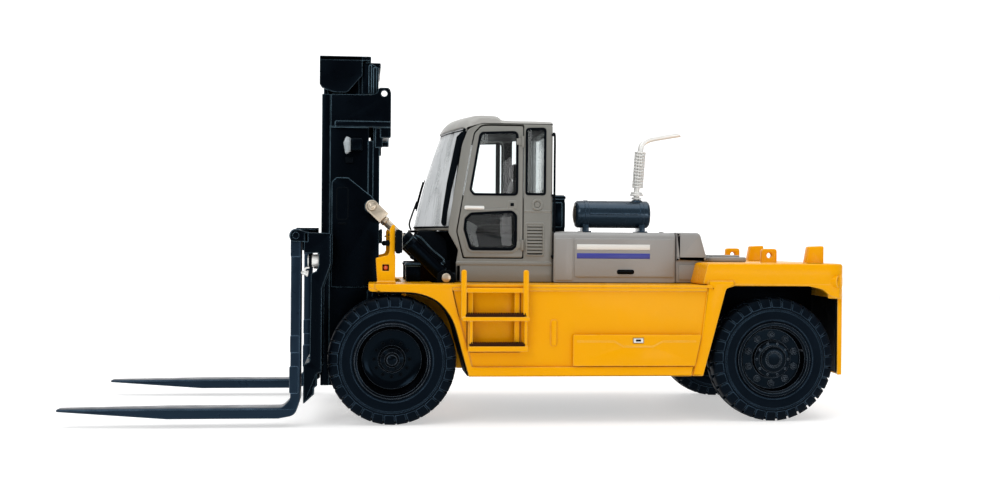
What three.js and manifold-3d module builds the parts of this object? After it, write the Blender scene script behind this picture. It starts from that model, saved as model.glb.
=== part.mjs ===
// Toy heavy-duty forklift, a 1:40 scale die-cast model of a 25 tonne truck.
// Units are millimetres, +Z is up, the forks point to -X and the counterweight to +X.
// The driver's left side is -Y. The ground is Z = 0. The pieces are drawn with the front
// axle at X = 0; the exported group is then moved so that its frame's origin lies on the
// ground under the middle of the overall length.
// Small offsets from a shared size are gaps between pieces, or overlaps of joins and cuts.
import * as THREE from "three";
import { mergeVertices } from "three/addons/utils/BufferGeometryUtils.js";
import Module from "manifold-3d";

const wasm = await Module();
wasm.setup();

// ---------------------------------------------------------------- driving dimensions
const ORIGIN_X = 20; // from the front axle to the middle of the overall length

// Wheels and axles
const TYRE_R = 17.1; // a 14.00-24 tyre at 1:40
const TYRE_W = 9.4; // section width
const AXLE_Z = TYRE_R;
const AXLE_BORE_R = 2.8; // hole for the front axle in the frame plates and mast lugs
const WHEELBASE = 104.6;
const FRONT_OUTER_Y = 33.2; // centre of the outer front tyre
const FRONT_INNER_Y = 22.8; // centre of the inner front tyre
const REAR_Y = 30.2; // centre of a rear tyre
const KINGPIN_Y = 28;
const STEER_ARM = 4.4; // from the kingpin to the tie rod's pin

// Chassis, counterweight and hood
const BODY_HALF_W = 36.4; // chassis rim and front fender
const PANEL_Y = 35.5; // recessed side panel
const DECK_Z = 37.5; // top of the chassis
const SILL_Z = 12.8; // underside of the chassis
const CW_HALF_W = 35.4; // counterweight
const CW_TOP_Z = 43.5;
const HOOD_Y = 22;
const HOOD_Z = 51.8;

// Cab
const CAB_Y = 20; // outside of the walls
const CAB_REAR_X = 44.9;
const DOOR_X = 36.5; // rear edge of the door
const ROOF_Y = 19.8; // half width of the roof

// Mast, carriage and forks
const MAST_Y = 17.2; // outside of the outer mast's rails
const MAST_BOTTOM_Z = 8.6;
const OUTER_TOP_Z = 89.6;
const INNER_TOP_Z = 100.2;
const LIFT_X = -4.75; // lift cylinder axis
const LIFT_Y = 13.4;
const FORK_Y = 35.9; // centre of a fork at its widest setting
const FORK_W = 7.5;
const FORK_TIP_X = -86;
const SHAFT_X = -25.2; // fork shaft
const SHAFT_Z = 50.1;
const SHAFT_R = 0.95;

// Tilt cylinders
const TILT_Y = 21; // plane of a cylinder
const TILT_BASE = { x: 14.9, z: 38.9 }; // pin on the chassis
const TILT_ROD = { x: -5.6, z: 58.4 }; // pin on the mast

// ---------------------------------------------------------------- materials
const paint = ({ color, roughness, metalness = 0 }) =>
  new THREE.MeshStandardMaterial({ color, roughness, metalness });
const YELLOW = paint({ color: 0xf5a800, roughness: 0.35 });
const GREY = paint({ color: 0x77756c, roughness: 0.45 });
const BLACK = paint({ color: 0x101216, roughness: 0.4 });
const BLACK_MATT = paint({ color: 0x17181a, roughness: 0.7 });
const RUBBER = paint({ color: 0x15161a, roughness: 0.85 });
const CHROME = paint({ color: 0xd8d8d4, roughness: 0.2, metalness: 1 });
const STEEL = paint({ color: 0xb5aca0, roughness: 0.35, metalness: 0.8 });
const CLEAR = new THREE.MeshStandardMaterial({
  color: 0xf2f6f6,
  roughness: 0.05,
  transparent: true,
  opacity: 0.3,
});

// ---------------------------------------------------------------- geometry helpers
const WELD = 1e-4; // vertices closer than this are merged

// A closed geometry as a Manifold solid, turned right side out if its faces point inward.
function solid(geometry) {
  for (const name of Object.keys(geometry.attributes)) {
    if (name !== "position") geometry.deleteAttribute(name);
  }
  const welded = mergeVertices(geometry, WELD);
  const index = welded.index.array;
  const triangles = [];
  for (let i = 0; i < index.length; i += 3) {
    const [a, b, c] = index.subarray(i, i + 3);
    if (a !== b && b !== c && a !== c) triangles.push([a, b, c]);
  }
  const build = (faces) =>
    new wasm.Manifold(
      new wasm.Mesh({
        numProp: 3,
        vertProperties: new Float32Array(welded.attributes.position.array),
        triVerts: new Uint32Array(faces.flat()),
      }),
    );
  const built = build(triangles);
  return built.volume() < 0 ? build(triangles.map(([a, b, c]) => [a, c, b])) : built;
}

function geometryOf(shape) {
  const mesh = shape.getMesh();
  const positions = new Float32Array(mesh.numVert * 3);
  for (let i = 0; i < mesh.numVert; i++) {
    const start = i * mesh.numProp;
    positions.set(mesh.vertProperties.subarray(start, start + 3), i * 3);
  }
  const geometry = new THREE.BufferGeometry()
    .setAttribute("position", new THREE.BufferAttribute(positions, 3))
    .setIndex(new THREE.BufferAttribute(mesh.triVerts, 1));
  geometry.computeVertexNormals();
  return geometry;
}

// Spans are [low, high] pairs; this one reaches equally far to both sides of zero.
const centred = (half) => [-half, half];

function box([x0, x1], [y0, y1], [z0, z1]) {
  const geometry = new THREE.BoxGeometry(x1 - x0, y1 - y0, z1 - z0);
  geometry.translate((x0 + x1) / 2, (y0 + y1) / 2, (z0 + z1) / 2);
  return solid(geometry);
}

function extrude(points, depth) {
  const shape = new THREE.Shape(points.map(([u, v]) => new THREE.Vector2(u, v)));
  return new THREE.ExtrudeGeometry(shape, { depth, bevelEnabled: false });
}

// A polygon of [x, z] points over a span of Y.
function plateXZ(points, [y0, y1]) {
  const geometry = extrude(points, y1 - y0);
  geometry.rotateX(Math.PI / 2); // (x, z, depth) to (x, -depth, z)
  geometry.translate(0, y1, 0);
  return solid(geometry);
}

// A polygon of [x, y] points over a span of Z.
function plateXY(points, [z0, z1]) {
  return solid(extrude(points, z1 - z0).translate(0, 0, z0));
}

// A polygon of [y, z] points over a span of X.
function plateYZ(points, [x0, x1]) {
  const geometry = extrude(points, x1 - x0);
  geometry.applyMatrix4(
    new THREE.Matrix4().set(0, 0, 1, x0, 1, 0, 0, 0, 0, 1, 0, 0, 0, 0, 0, 1),
  );
  return solid(geometry);
}

// A cylinder between two points.
function rod(from, to, radius, segments = 16) {
  const start = new THREE.Vector3(...from);
  const end = new THREE.Vector3(...to);
  const along = end.clone().sub(start);
  const geometry = new THREE.CylinderGeometry(radius, radius, along.length(), segments);
  geometry.applyQuaternion(
    new THREE.Quaternion().setFromUnitVectors(new THREE.Vector3(0, 1, 0), along.normalize()),
  );
  const centre = start.add(end).multiplyScalar(0.5);
  geometry.translate(centre.x, centre.y, centre.z);
  return solid(geometry);
}

const rodX = (y, z, radius, [x0, x1], segments) => rod([x0, y, z], [x1, y, z], radius, segments);
const rodY = (x, z, radius, [y0, y1], segments) => rod([x, y0, z], [x, y1, z], radius, segments);
const rodZ = (x, y, radius, [z0, z1], segments) => rod([x, y, z0], [x, y, z1], radius, segments);

// A profile of [radius, y] points turned about the Y axis.
function turned(profile, segments) {
  const points = profile.map(([radius, y]) => new THREE.Vector2(radius, y));
  return solid(new THREE.LatheGeometry(points, segments));
}

const join = (...solids) => solids.reduce((a, b) => a.add(b));
const cut = (body, ...tools) => tools.reduce((a, b) => a.subtract(b), body);
const mirrored = (shape) => shape.mirror([0, 1, 0]);
const bothSides = (shape) => join(shape, mirrored(shape));

// Half an outline, whose second column is Y, completed by its reflection in Y = 0.
function mirroredOutline(half) {
  const reflected = half.filter(([, y]) => y !== 0).map(([u, y]) => [u, -y]);
  return [...half, ...reflected.reverse()];
}

// ---------------------------------------------------------------- scene helpers
function addGroup(parent, position = [0, 0, 0]) {
  const child = new THREE.Group();
  child.position.set(...position);
  parent.add(child);
  return child;
}

function addPart(parent, name, shape, material) {
  const mesh = new THREE.Mesh(geometryOf(shape), material);
  mesh.name = name;
  parent.add(mesh);
  return mesh;
}

// A left part and its mirrored right twin.
function addPair(parent, name, left, material) {
  addPart(parent, name + "_left", left, material);
  addPart(parent, name + "_right", mirrored(left), material);
}

// ---------------------------------------------------------------- chassis
// Side view, [x, z]: the deck, then round to the front wheel arch and fender.
const CHASSIS_OUTLINE = [
  [-5.8, DECK_Z], [85.2, DECK_Z], [83.5, 24], [81.6, 15.1], [81.1, SILL_Z], [20.5, SILL_Z],
  [18.5, 19.8], [16.5, 27], [14.2, 30.8], [11.2, 33.5], [6.3, 35.2], [-5.8, 35.4],
  [-6.4, 36], [-6.4, 36.9],
];
// Sunk area of a side, [x, z].
const SIDE_PANEL = [[15.8, 36.6], [90, 36.6], [90, 15.4], [21.2, 15.4], [16.8, 31.9]];
// Plate that carries the front axle, [x, z].
const FRAME_PLATE = [[-2.9, 13.4], [-2.9, 20.8], [2.6, 27], [4.5, 35.5], [20, 35.5], [20, 13.4]];

// Hollow cast shell: front fenders, wheel arch, side panels sunk behind a rim, flat deck.
function chassis() {
  // slot across the deck for the tilt cross member
  const tiltSlot = box([11.2, 17.75], centred(24.9), [34.9, 40]);
  const shell = cut(
    plateXZ(CHASSIS_OUTLINE, centred(BODY_HALF_W)),
    bothSides(plateXZ(SIDE_PANEL, [-BODY_HALF_W - 1, -PANEL_Y])),
    // hollow inside, open underneath
    box([22, 80], centred(33.4), [SILL_Z - 1, 35.8]),
    // opening for the mast between the fenders, and the space between the frame plates
    box([-8, 3], centred(18.4), [30, 40]),
    box([-8, 18.4], centred(15.3), [SILL_Z - 1, 35.4]),
    tiltSlot,
    // deeper recess behind each ladder
    bothSides(box([19.7, 34.3], [-BODY_HALF_W - 1, -34.5], [19.2, 36.3])),
  );
  const framePlate = cut(
    plateXZ(FRAME_PLATE, [-17.5, -15.4]),
    rodY(0, AXLE_Z, AXLE_BORE_R, [-19, -14]),
    tiltSlot,
  );
  const grabBar = box([42.5, 44.1], [-36.3, -PANEL_Y + 0.3], [21, 28]);
  return join(shell, bothSides(framePlate), bothSides(grabBar));
}

const basePlate = () => box([22.3, 79.6], centred(33.1), [SILL_Z + 0.2, 14.2]);

// ---------------------------------------------------------------- counterweight
// Plan view, [x, y], drawn in by an inset at the sides and the rear.
const counterweightPlan = (inset) =>
  mirroredOutline([
    [84.6, -CW_HALF_W + inset], [119, -CW_HALF_W + inset], [122.4 - inset, -34.2 + inset],
    [124.2 - inset, -31], [125.1 - inset, -20], [125.8 - inset, -10], [126 - inset, 0],
  ]);
// Inner face of the rear wall in plan, [x, y].
const REAR_WALL_INSIDE = mirroredOutline([
  [80, -40], [122.9, -40], [122.9, -31], [123.8, -20], [124.5, -10], [124.7, 0],
]);
// Lower edge over the rear wheels, [x, z].
const SKIRT = [
  [90, 38.5], [90.7, 37.3], [114.4, 37.3], [118.2, 36.4], [120.4, 34.6], [122.4, 33.9],
  [127, 33.9], [127, 38.5],
];
const SLANTED_PILLAR = [ // [x, z]
  [85.7, 38.4], [83.9, 24], [82, 15.1], [81.5, SILL_Z], [84.4, SILL_Z], [90.6, 37], [91, 38.4],
];
const LUG_FOOT_Z = CW_TOP_Z - 0.2;
const STOP_BLOCK = [[115.3, LUG_FOOT_Z], [116.1, 48.2], [120.5, 48.4], [120.5, LUG_FOOT_Z]]; // [x, z]
const LIFTING_LUG = [ // [x, z]
  [105.7, LUG_FOOT_Z], [105.7, 46.7], [106.4, 47.4], [109.4, 47.4], [110.1, 46.7],
  [110.1, LUG_FOOT_Z],
];

// Slanted front pillar, top slab over the rear wheels, thin rear wall, centre block,
// two lifting lugs and two stop blocks.
function counterweight() {
  const slopingFront = [[80, 37], [84.2, 37], [86, CW_TOP_Z + 1], [80, CW_TOP_Z + 1]];
  const top = cut(
    plateXY(counterweightPlan(0), [DECK_Z + 0.3, CW_TOP_Z]),
    plateXZ(slopingFront, centred(40)),
  );
  const ring = cut(
    plateXY(counterweightPlan(0), [33, 38.6]),
    plateXY(counterweightPlan(2.2), [32, 39]),
    box([80, 92], centred(33), [32, 39]),
  );
  const wall = cut(
    plateXY(counterweightPlan(0), [SILL_Z - 0.1, 38.4]),
    plateXY(REAR_WALL_INSIDE, [SILL_Z - 1, 37.3]),
    box([80, 122.2], centred(40), [SILL_Z - 1, 40]),
    bothSides(box([80, 130], [-40, -33.2], [SILL_Z - 1, 36])),
  );
  const lug = cut(
    plateXZ(LIFTING_LUG, [-19.4, -17.6]),
    rodY(107.9, 45.6, 0.75, [-21, -16], 10),
  );
  return join(
    top,
    ring.intersect(plateXZ(SKIRT, centred(40))),
    wall,
    plateXZ(SLANTED_PILLAR, centred(BODY_HALF_W - 0.4)),
    box([92, 122.6], centred(13.5), [21.6, 38]),
    bothSides(plateXZ(STOP_BLOCK, [-29, -26])),
    bothSides(lug),
  );
}

// ---------------------------------------------------------------- engine hood and exhaust
function hood() {
  const chamfer = 1.3;
  const outline = [ // [y, z]
    [-HOOD_Y, DECK_Z + 0.2], [-HOOD_Y, HOOD_Z - chamfer], [-HOOD_Y + chamfer, HOOD_Z],
    [HOOD_Y - chamfer, HOOD_Z], [HOOD_Y, HOOD_Z - chamfer], [HOOD_Y, DECK_Z + 0.2],
  ];
  return cut(
    plateYZ(outline, [45.3, 79.7]),
    box([46.5, 78.5], centred(HOOD_Y - 1.2), [DECK_Z - 1, HOOD_Z - 1.3]),
  );
}

function hoodRear() {
  const outline = [[80, 43.8], [80, 51.9], [86.6, 51.9], [87.6, 51], [89.4, 43.8]]; // [x, z]
  return join(
    plateXZ(outline, centred(HOOD_Y)),
    box([80, 84], centred(21), [DECK_Z + 0.2, 44]),
  );
}

const radiatorCover = () => box([91.5, 103], centred(14), [CW_TOP_Z + 0.1, 45.3]);
const airCleaner = () => box([45.6, 50.2], centred(9), [HOOD_Z + 0.1, 62.8]);

const EXHAUST_Y = -6;

// Drum lying along X on two feet.
function muffler() {
  const z = 57.2;
  const radius = 4;
  const foot = (x) =>
    cut(
      box([x, x + 2], [EXHAUST_Y - 2.6, EXHAUST_Y + 2.6], [HOOD_Z + 0.1, z]),
      rodX(EXHAUST_Y, z, radius - 1, [40, 90], 8),
    );
  return join(rodX(EXHAUST_Y, z, radius, [53.4, 75.4], 20), foot(54.6), foot(72.4));
}

// Centre line of the pipe, [x, z], from the muffler up and then rearward.
const EXHAUST_PATH = [
  [71.9, 61.35], [72.1, 64], [72.9, 76], [73.5, 77.9], [75.2, 79.1], [84.4, 80.8],
];

// Bent pipe with a collar at its foot and a sleeve round its upright part.
function exhaustStack() {
  const overlap = 0.25; // each length after the first starts this far back in the last one
  const tube = ([x0, z0], [x1, z1], radius, segments) =>
    rod([x0, EXHAUST_Y, z0], [x1, EXHAUST_Y, z1], radius, segments);
  const lengths = EXHAUST_PATH.slice(1).map(([x, z], i) => {
    const [fromX, fromZ] = EXHAUST_PATH[i];
    const back = i === 0 ? 0 : overlap / Math.hypot(x - fromX, z - fromZ);
    return tube([fromX - back * (x - fromX), fromZ - back * (z - fromZ)], [x, z], 0.95, 8);
  });
  const collar = tube([71.9, 62.7], [71.95, 63.4], 2.1, 12);
  const sleeve = tube([72.2, 65.5], [72.86, 75.4], 1.55, 12);
  return join(collar, ...lengths, sleeve);
}

// ---------------------------------------------------------------- cab
// Side views, [x, z].
const CAB_SIDE = [
  [17.9, 43], [18.4, 46.5], [15.6, 51.5], [16.1, 54.8], [19.5, 76], [21.1, 80.2], [24.5, 81.9],
  [CAB_REAR_X, 81.9], [CAB_REAR_X, 43],
];
const QUARTER_WINDOW = [[37.4, 62.2], [42.9, 62.2], [42.9, 80.9], [37.4, 80.9]];
const DOOR = [
  [20.1, 44.5], [18.2, 51.7], [22.3, 76], [23, 79], [24.8, 80.7], [26.6, 81.3],
  [DOOR_X, 81.3], [DOOR_X, 44.5],
];
const DOORWAY = [
  [19.8, 44.2], [17.9, 51.7], [22, 76.1], [22.7, 79.2], [24.6, 81], [26.5, 81.6],
  [DOOR_X + 0.3, 81.6], [DOOR_X + 0.3, 44.2],
];
const WINDOW_UPPER = [
  [21.9, 63.4], [22.9, 62], [35, 62], [35, 79.8], [25.4, 79.4], [24.4, 78.4],
];
const WINDOW_LOWER = [
  [20.2, 52.3], [20.4, 54.8], [21.6, 56.5], [33, 57.4], [34.7, 56], [34.7, 48.3],
  [33.4, 46.8], [22, 46.8],
];
const RIGHT_PANE = [
  [16.3, 53], [19.5, 76], [20.3, 79.2], [23.5, 79.6], [43.4, 80.9], [43.4, 45.2],
  [19.4, 45.2], [18.8, 47.2], [16.1, 51.8],
];
const DOOR_PANE = [
  [20.8, 46], [19.2, 51.8], [23.2, 76], [24, 78.9], [25.4, 80.2], [35.7, 80.6], [35.7, 46],
];
const ROOF = [
  [12.9, 79.9], [14.3, 81.9], [16.6, 83.3], [19.5, 83.8], [29, 83.8], [30.2, 83.1],
  [CAB_REAR_X, 82.9], [CAB_REAR_X, 82.1], [22.6, 82.1], [20, 81.6], [16.2, 81],
];
const DASHBOARD = [
  [17, 52.2], [14.5, 52.4], [15.5, 55.6], [18.5, 56.6], [20.4, 54.6], [20.4, 45], [19, 45],
];

// Side walls, rear wall with its window, sill frame and a header over the windscreen.
function cabShell() {
  const right = cut(
    plateXZ(CAB_SIDE, [CAB_Y - 1, CAB_Y]),
    ...[QUARTER_WINDOW, WINDOW_UPPER, WINDOW_LOWER].map((hole) => plateXZ(hole, [18, 21])),
  );
  const left = cut(
    plateXZ(CAB_SIDE, [-CAB_Y, -CAB_Y + 1]),
    ...[QUARTER_WINDOW, DOORWAY].map((hole) => plateXZ(hole, [-21, -18])),
  );
  const rear = cut(
    box([CAB_REAR_X - 1.1, CAB_REAR_X - 0.15], centred(CAB_Y - 0.5), [42.7, 81.7]),
    box([CAB_REAR_X - 2, CAB_REAR_X + 1], centred(16.5), [64, 80]),
  );
  const sill = cut(
    box([17.95, CAB_REAR_X], centred(CAB_Y + 0.3), [DECK_Z + 0.2, 43.2]),
    box([19.2, CAB_REAR_X - 1.2], centred(18.6), [DECK_Z - 1, 45]),
    box([17, 20], centred(17.6), [DECK_Z - 1, 45]),
  );
  const header = box([20.9, 23.2], centred(CAB_Y - 0.5), [80.3, 81.5]);
  return join(right, left, rear, sill, header);
}

// Flat rear, and a raised front cap whose visor bows forward in plan.
function cabRoof() {
  const steps = 12;
  const bowDepth = 6.6;
  const bow = [];
  for (let i = 0; i <= steps; i++) {
    const y = -ROOF_Y + (2 * ROOF_Y * i) / steps;
    bow.push([12.9 + bowDepth * (y / ROOF_Y) ** 2, y]);
  }
  const plan = [...bow, [46, ROOF_Y], [46, -ROOF_Y]];
  return plateXZ(ROOF, centred(ROOF_Y)).intersect(plateXY(plan, [70, 90]));
}

// Windscreen: a parabolic bow, 9.6 mm deep at the bottom edge and 5.4 mm at the top edge,
// leaning back.
function windscreen() {
  const steps = 14;
  const bottom = { x: 6.7, z: 52.9, bow: 9.6 };
  const rise = { x: 7.9, z: 26.3, bow: -4.2 }; // change from the bottom edge to the top
  const outer = [];
  const inner = [];
  for (let i = 0; i <= steps; i++) {
    const t = -1 + (2 * i) / steps;
    outer.push([t * t, t * 18.8]);
    inner.push([t * t + 0.07, t * 18.2]);
  }
  // The unit-deep band has a bow of 1; each point is moved by its height up the screen.
  const band = extrude([...outer, ...inner.reverse()], 1);
  const points = band.attributes.position;
  for (let i = 0; i < points.count; i++) {
    const up = points.getZ(i);
    const x = bottom.x + rise.x * up + points.getX(i) * (bottom.bow + rise.bow * up);
    points.setXYZ(i, x, points.getY(i), bottom.z + rise.z * up);
  }
  return solid(band);
}

// Clear insert: windscreen, right side pane, rear pane and left quarter pane in one.
function cabGlass() {
  return join(
    windscreen(),
    plateXZ(RIGHT_PANE, [18.2, 18.8]),
    box([42.8, 43.4], centred(18.8), [45.2, 80.9]),
    box([37, 43.4], [-18.8, -18.2], [45.2, 80.9]),
  );
}

// Black moulding: floor, lower front skirt under the windscreen, and dashboard.
function cabBase() {
  const skirtPlan = mirroredOutline([
    [22, -17.2], [19, -17.2], [15.2, -15], [12.2, -9], [11, 0],
  ]);
  const skirt = cut(
    plateXY(skirtPlan, [DECK_Z + 0.4, 52.5]),
    box([19.1, 30], centred(30), [40.4, 60]),
    box([13.8, 19.2], centred(14), [40, 50]),
  );
  return join(
    skirt,
    box([19.4, 43.3], centred(18.2), [DECK_Z + 0.4, 40.4]),
    plateXZ(DASHBOARD, centred(11)),
    box([19.1, 20.4], centred(3), [40, 52]),
  );
}

// Pedestal, cushion, back, headrest, and armrests joined by a bar.
function driverSeat() {
  const cushion = [[24.5, 47], [24.2, 49.4], [25, 50.2], [35, 50], [35, 47]];
  const back = [[32.6, 49.5], [35.2, 66.6], [36, 67.4], [37.6, 67], [37.9, 66], [35.8, 49.5]];
  const headrest = [[35.7, 66.5], [36, 71.4], [36.8, 72], [38.4, 71.6], [38.2, 66.5]];
  return join(
    box([26, 34], centred(5), [40.5, 47]),
    plateXZ(cushion, centred(6)),
    plateXZ(back, centred(5.6)),
    plateXZ(headrest, centred(3)),
    bothSides(box([25.6, 35], [-8.2, -6.4], [52.2, 53.6])),
    box([33.2, 35], centred(8.2), [51.6, 53.6]),
  );
}

// Tilted ring with a bar across it, and a column and boss running down and forward.
function steeringWheel() {
  const tilt = 0.95; // radians
  const ringR = 3.4;
  const [x, z] = [23.6, 60.4]; // centre of the ring
  const ring = new THREE.TorusGeometry(ringR, 0.38, 5, 14);
  ring.rotateY(-tilt);
  ring.translate(x, 0, z);
  // a point this far down the column from the ring's centre
  const onColumn = (distance) => [
    x - Math.cos(tilt) * distance, 0, z - Math.sin(tilt) * distance,
  ];
  return join(
    solid(ring),
    rod(onColumn(0), onColumn(5.6), 0.55, 8),
    rodY(x, z, 0.35, centred(ringR), 6),
    rod(onColumn(-0.5), onColumn(0.8), 0.95, 8),
  );
}

function wiper() {
  const pivot = [5.2, 0.4, 52.3];
  return join(
    rod(pivot, [9.2, 0.4, 63.6], 0.22, 8),
    rod([9, 0.4, 62.5], [10.8, 0.4, 68.4], 0.25, 8),
    rod(pivot, [10.85, 0.4, 51.8], 0.4, 10),
  );
}

// Left door with two hinge barrels on its rear edge and a bar under the upper window.
function cabDoor() {
  const hinge = (zSpan) => rodZ(DOOR_X - 0.1, -CAB_Y - 0.55, 0.5, zSpan, 10);
  return join(
    cut(
      plateXZ(DOOR, [-CAB_Y - 0.2, -CAB_Y + 0.9]),
      plateXZ(WINDOW_UPPER, [-22, -18]),
      plateXZ(WINDOW_LOWER, [-22, -18]),
    ),
    hinge([46.5, 49.5]),
    hinge([75.5, 78.5]),
    box([20.1, 25.7], [-CAB_Y - 0.9, -CAB_Y], [57.9, 58.9]),
  );
}

const doorGlass = () => plateXZ(DOOR_PANE, [-CAB_Y + 1, -CAB_Y + 1.5]);

// ---------------------------------------------------------------- left side fittings
function ladder() {
  const barW = 1.4; // stiles and hand posts
  const stiles = [20, 32.5].map((x) => box([x, x + barW], [-36.7, -34.8], [19.6, 35.9]));
  // lower treads: X span and Z span, each with a backing bar behind it
  const treads = [
    [[18.5, 36.4], [28, 29.6]],
    [[20.1, 35.9], [19.9, 21.5]],
  ].map(([xSpan, zSpan]) =>
    join(box(xSpan, [-38.7, -36.6], zSpan), box([20.6, 33.3], [-36.8, -35.4], zSpan)),
  );
  const handPosts = [18.1, 34.7].map((x) =>
    join(
      box([x, x + barW], [-38.6, -37.4], [28.4, 40.7]),
      rodY(x + barW / 2, 40.7, barW / 2, [-38.6, -37.4], 12),
    ),
  );
  const topTread = box([19.4, 34.8], [-37.6, -36.6], [35.3, 36.7]);
  const topBar = box([18.1, 36.1], [-37.9, -37.4], [35.3, 36.7]);
  return join(...stiles, topTread, ...treads, ...handPosts, topBar);
}

// Flat box on the side panel with a small rectangular recess.
function toolBox() {
  const outline = [[48.4, 24.1], [83, 24.1], [81.2, 15.7], [48.9, 15.7], [48.4, 16.2]]; // [x, z]
  return cut(
    plateXZ(outline, [-37, -PANEL_Y - 0.1]),
    box([64.6, 67.7], [-38, -36.4], [21.9, 23.2]),
  );
}

// Post on the front fender with a round top and a small opening.
function lampBracket() {
  const ySpan = [-34, -32.8];
  const foot = [ // [x, z]
    [-4.1, DECK_Z + 0.1], [-4.5, 44.3], [-0.7, 45.2], [0.7, 45.2], [0.7, DECK_Z + 0.1],
  ];
  return cut(
    join(
      plateXZ(foot, ySpan),
      box([-0.9, 0.6], ySpan, [45, 52.6]),
      rodY(-0.15, 52.6, 0.75, ySpan, 12),
    ),
    box([-2.7, -0.95], [-35, -32], [40.9, 42.6]),
  );
}

const mirrorHead = () => box([0.7, 2.5], [-36, -31.4], [45.5, 51.9]);

// ---------------------------------------------------------------- axles, wheels, steering
const frontAxle = () =>
  join(rodY(0, AXLE_Z, 2.4, centred(17.7)), rodY(0, AXLE_Z, 1.4, centred(33.4)));

function tyre() {
  const profile = mirroredOutline([[9.75, -3.9], [11.8, -TYRE_W / 2], [14.4, -4.5], [TYRE_R, -3.6]]);
  return turned([...profile, profile[0]], 24);
}

// One drum under both left tyres: deep dish outside, hub with a blind bore for the axle.
// Columns: [radius, y].
const FRONT_RIM = [
  [0, -34.6], [2.2, -34.2], [3.5, -33.1], [3.6, -30.6], [8.2, -31], [9, -37.6],
  [10.1, -37.6], [9.5, -36.9], [9.5, -18.9], [8.5, -18.9], [8.1, -28.7], [3, -28.4],
  [3, -18.9], [1.8, -18.9], [1.8, -33.7], [0, -33.7],
];
// Left rear rim, [radius, y from the tyre's centre].
const REAR_RIM = [
  [0, -4.3], [2.2, -4.3], [3.5, -3.6], [8.3, -3.2], [8.9, -4.5], [10.1, -4.5],
  [9.5, -3.9], [9.5, 4.2], [8.9, 4.2], [8.8, -1.8], [3, -1.8],
  [3, -0.9], [1.55, -0.9], [1.55, -3.7], [0, -3.7],
];

const frontRim = () => turned(FRONT_RIM, 16);
const rearRim = () => turned(REAR_RIM.map(([radius, y]) => [radius, y - REAR_Y]), 16);

// The steering pieces are drawn about X = 0 and then moved back to the rear axle.
const atRearAxle = (shape) => shape.translate([WHEELBASE, 0, 0]);

// Beam with a vertical kingpin hole at each end.
function rearAxle() {
  const beam = join(
    box(centred(2.6), centred(23.4), [14.6, 20.4]),
    box(centred(1.7), centred(KINGPIN_Y), [15.2, 19]),
    bothSides(rodZ(0, -KINGPIN_Y, 1.75, [15.2, 19])),
    box(centred(5), centred(9), [16, 21.4]),
  );
  return atRearAxle(cut(beam, bothSides(rodZ(0, -KINGPIN_Y, 1.15, [10, 25], 12))));
}

function steeringKnuckle() {
  return atRearAxle(
    join(
      // fork over and under the beam's end, with the kingpin
      box(centred(1.7), [-30.75, -26.5], [19.4, 20.8]),
      box(centred(1.7), [-30.75, -26.5], [13.4, 14.8]),
      box(centred(1.7), [-30.75, -30.05], [13.4, 20.8]),
      rodZ(0, -KINGPIN_Y, 0.9, [14, 20], 12),
      // stub axle
      rodY(0, AXLE_Z, 1.25, [-33.6, -30.4], 12),
      // steering arm and its pin
      box([0, STEER_ARM + 1], [-KINGPIN_Y - 0.9, -KINGPIN_Y + 0.9], [13.4, 14.4]),
      rodZ(STEER_ARM, -KINGPIN_Y, 0.5, [11.6, 14], 12),
    ),
  );
}

function tieRod() {
  return atRearAxle(
    cut(
      box([STEER_ARM - 0.9, STEER_ARM + 0.9], centred(KINGPIN_Y + 1), [12, 13.1]),
      bothSides(rodZ(STEER_ARM, -KINGPIN_Y, 0.68, [11, 14], 12)),
    ),
  );
}

// ---------------------------------------------------------------- mast
// Side views, [x, z].
const MAST_SIDE_PLATE = [
  [-16.6, 36], [-16.6, 65.4], [-15.6, 66.4], [-12.2, 66.4], [-5.4, 61.4], [-3.4, 59],
  [-3.4, 53], [-2, 52.4], [-2, 48], [-3.4, 47.4], [-3.4, 36],
];
const MAST_TOP_BRACKET = [
  [-17, 80.5], [-17, OUTER_TOP_Z], [-6, OUTER_TOP_Z], [-4.2, 90.2], [-3.9, 91.2], [-3, 91.8],
  [-1.6, 91.8], [-0.7, 91.2], [-0.4, 90.2], [-0.4, 77.7], [-3.2, 77.7], [-3.2, 80.5],
];
const INNER_MAST_COVER = [
  [-20.2, INNER_TOP_Z], [-8.4, INNER_TOP_Z], [-8.4, 95], [-12.6, 90.1], [-16.3, 90.1],
  [-19.6, 91.4], [-20.2, 92.2],
];

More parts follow.
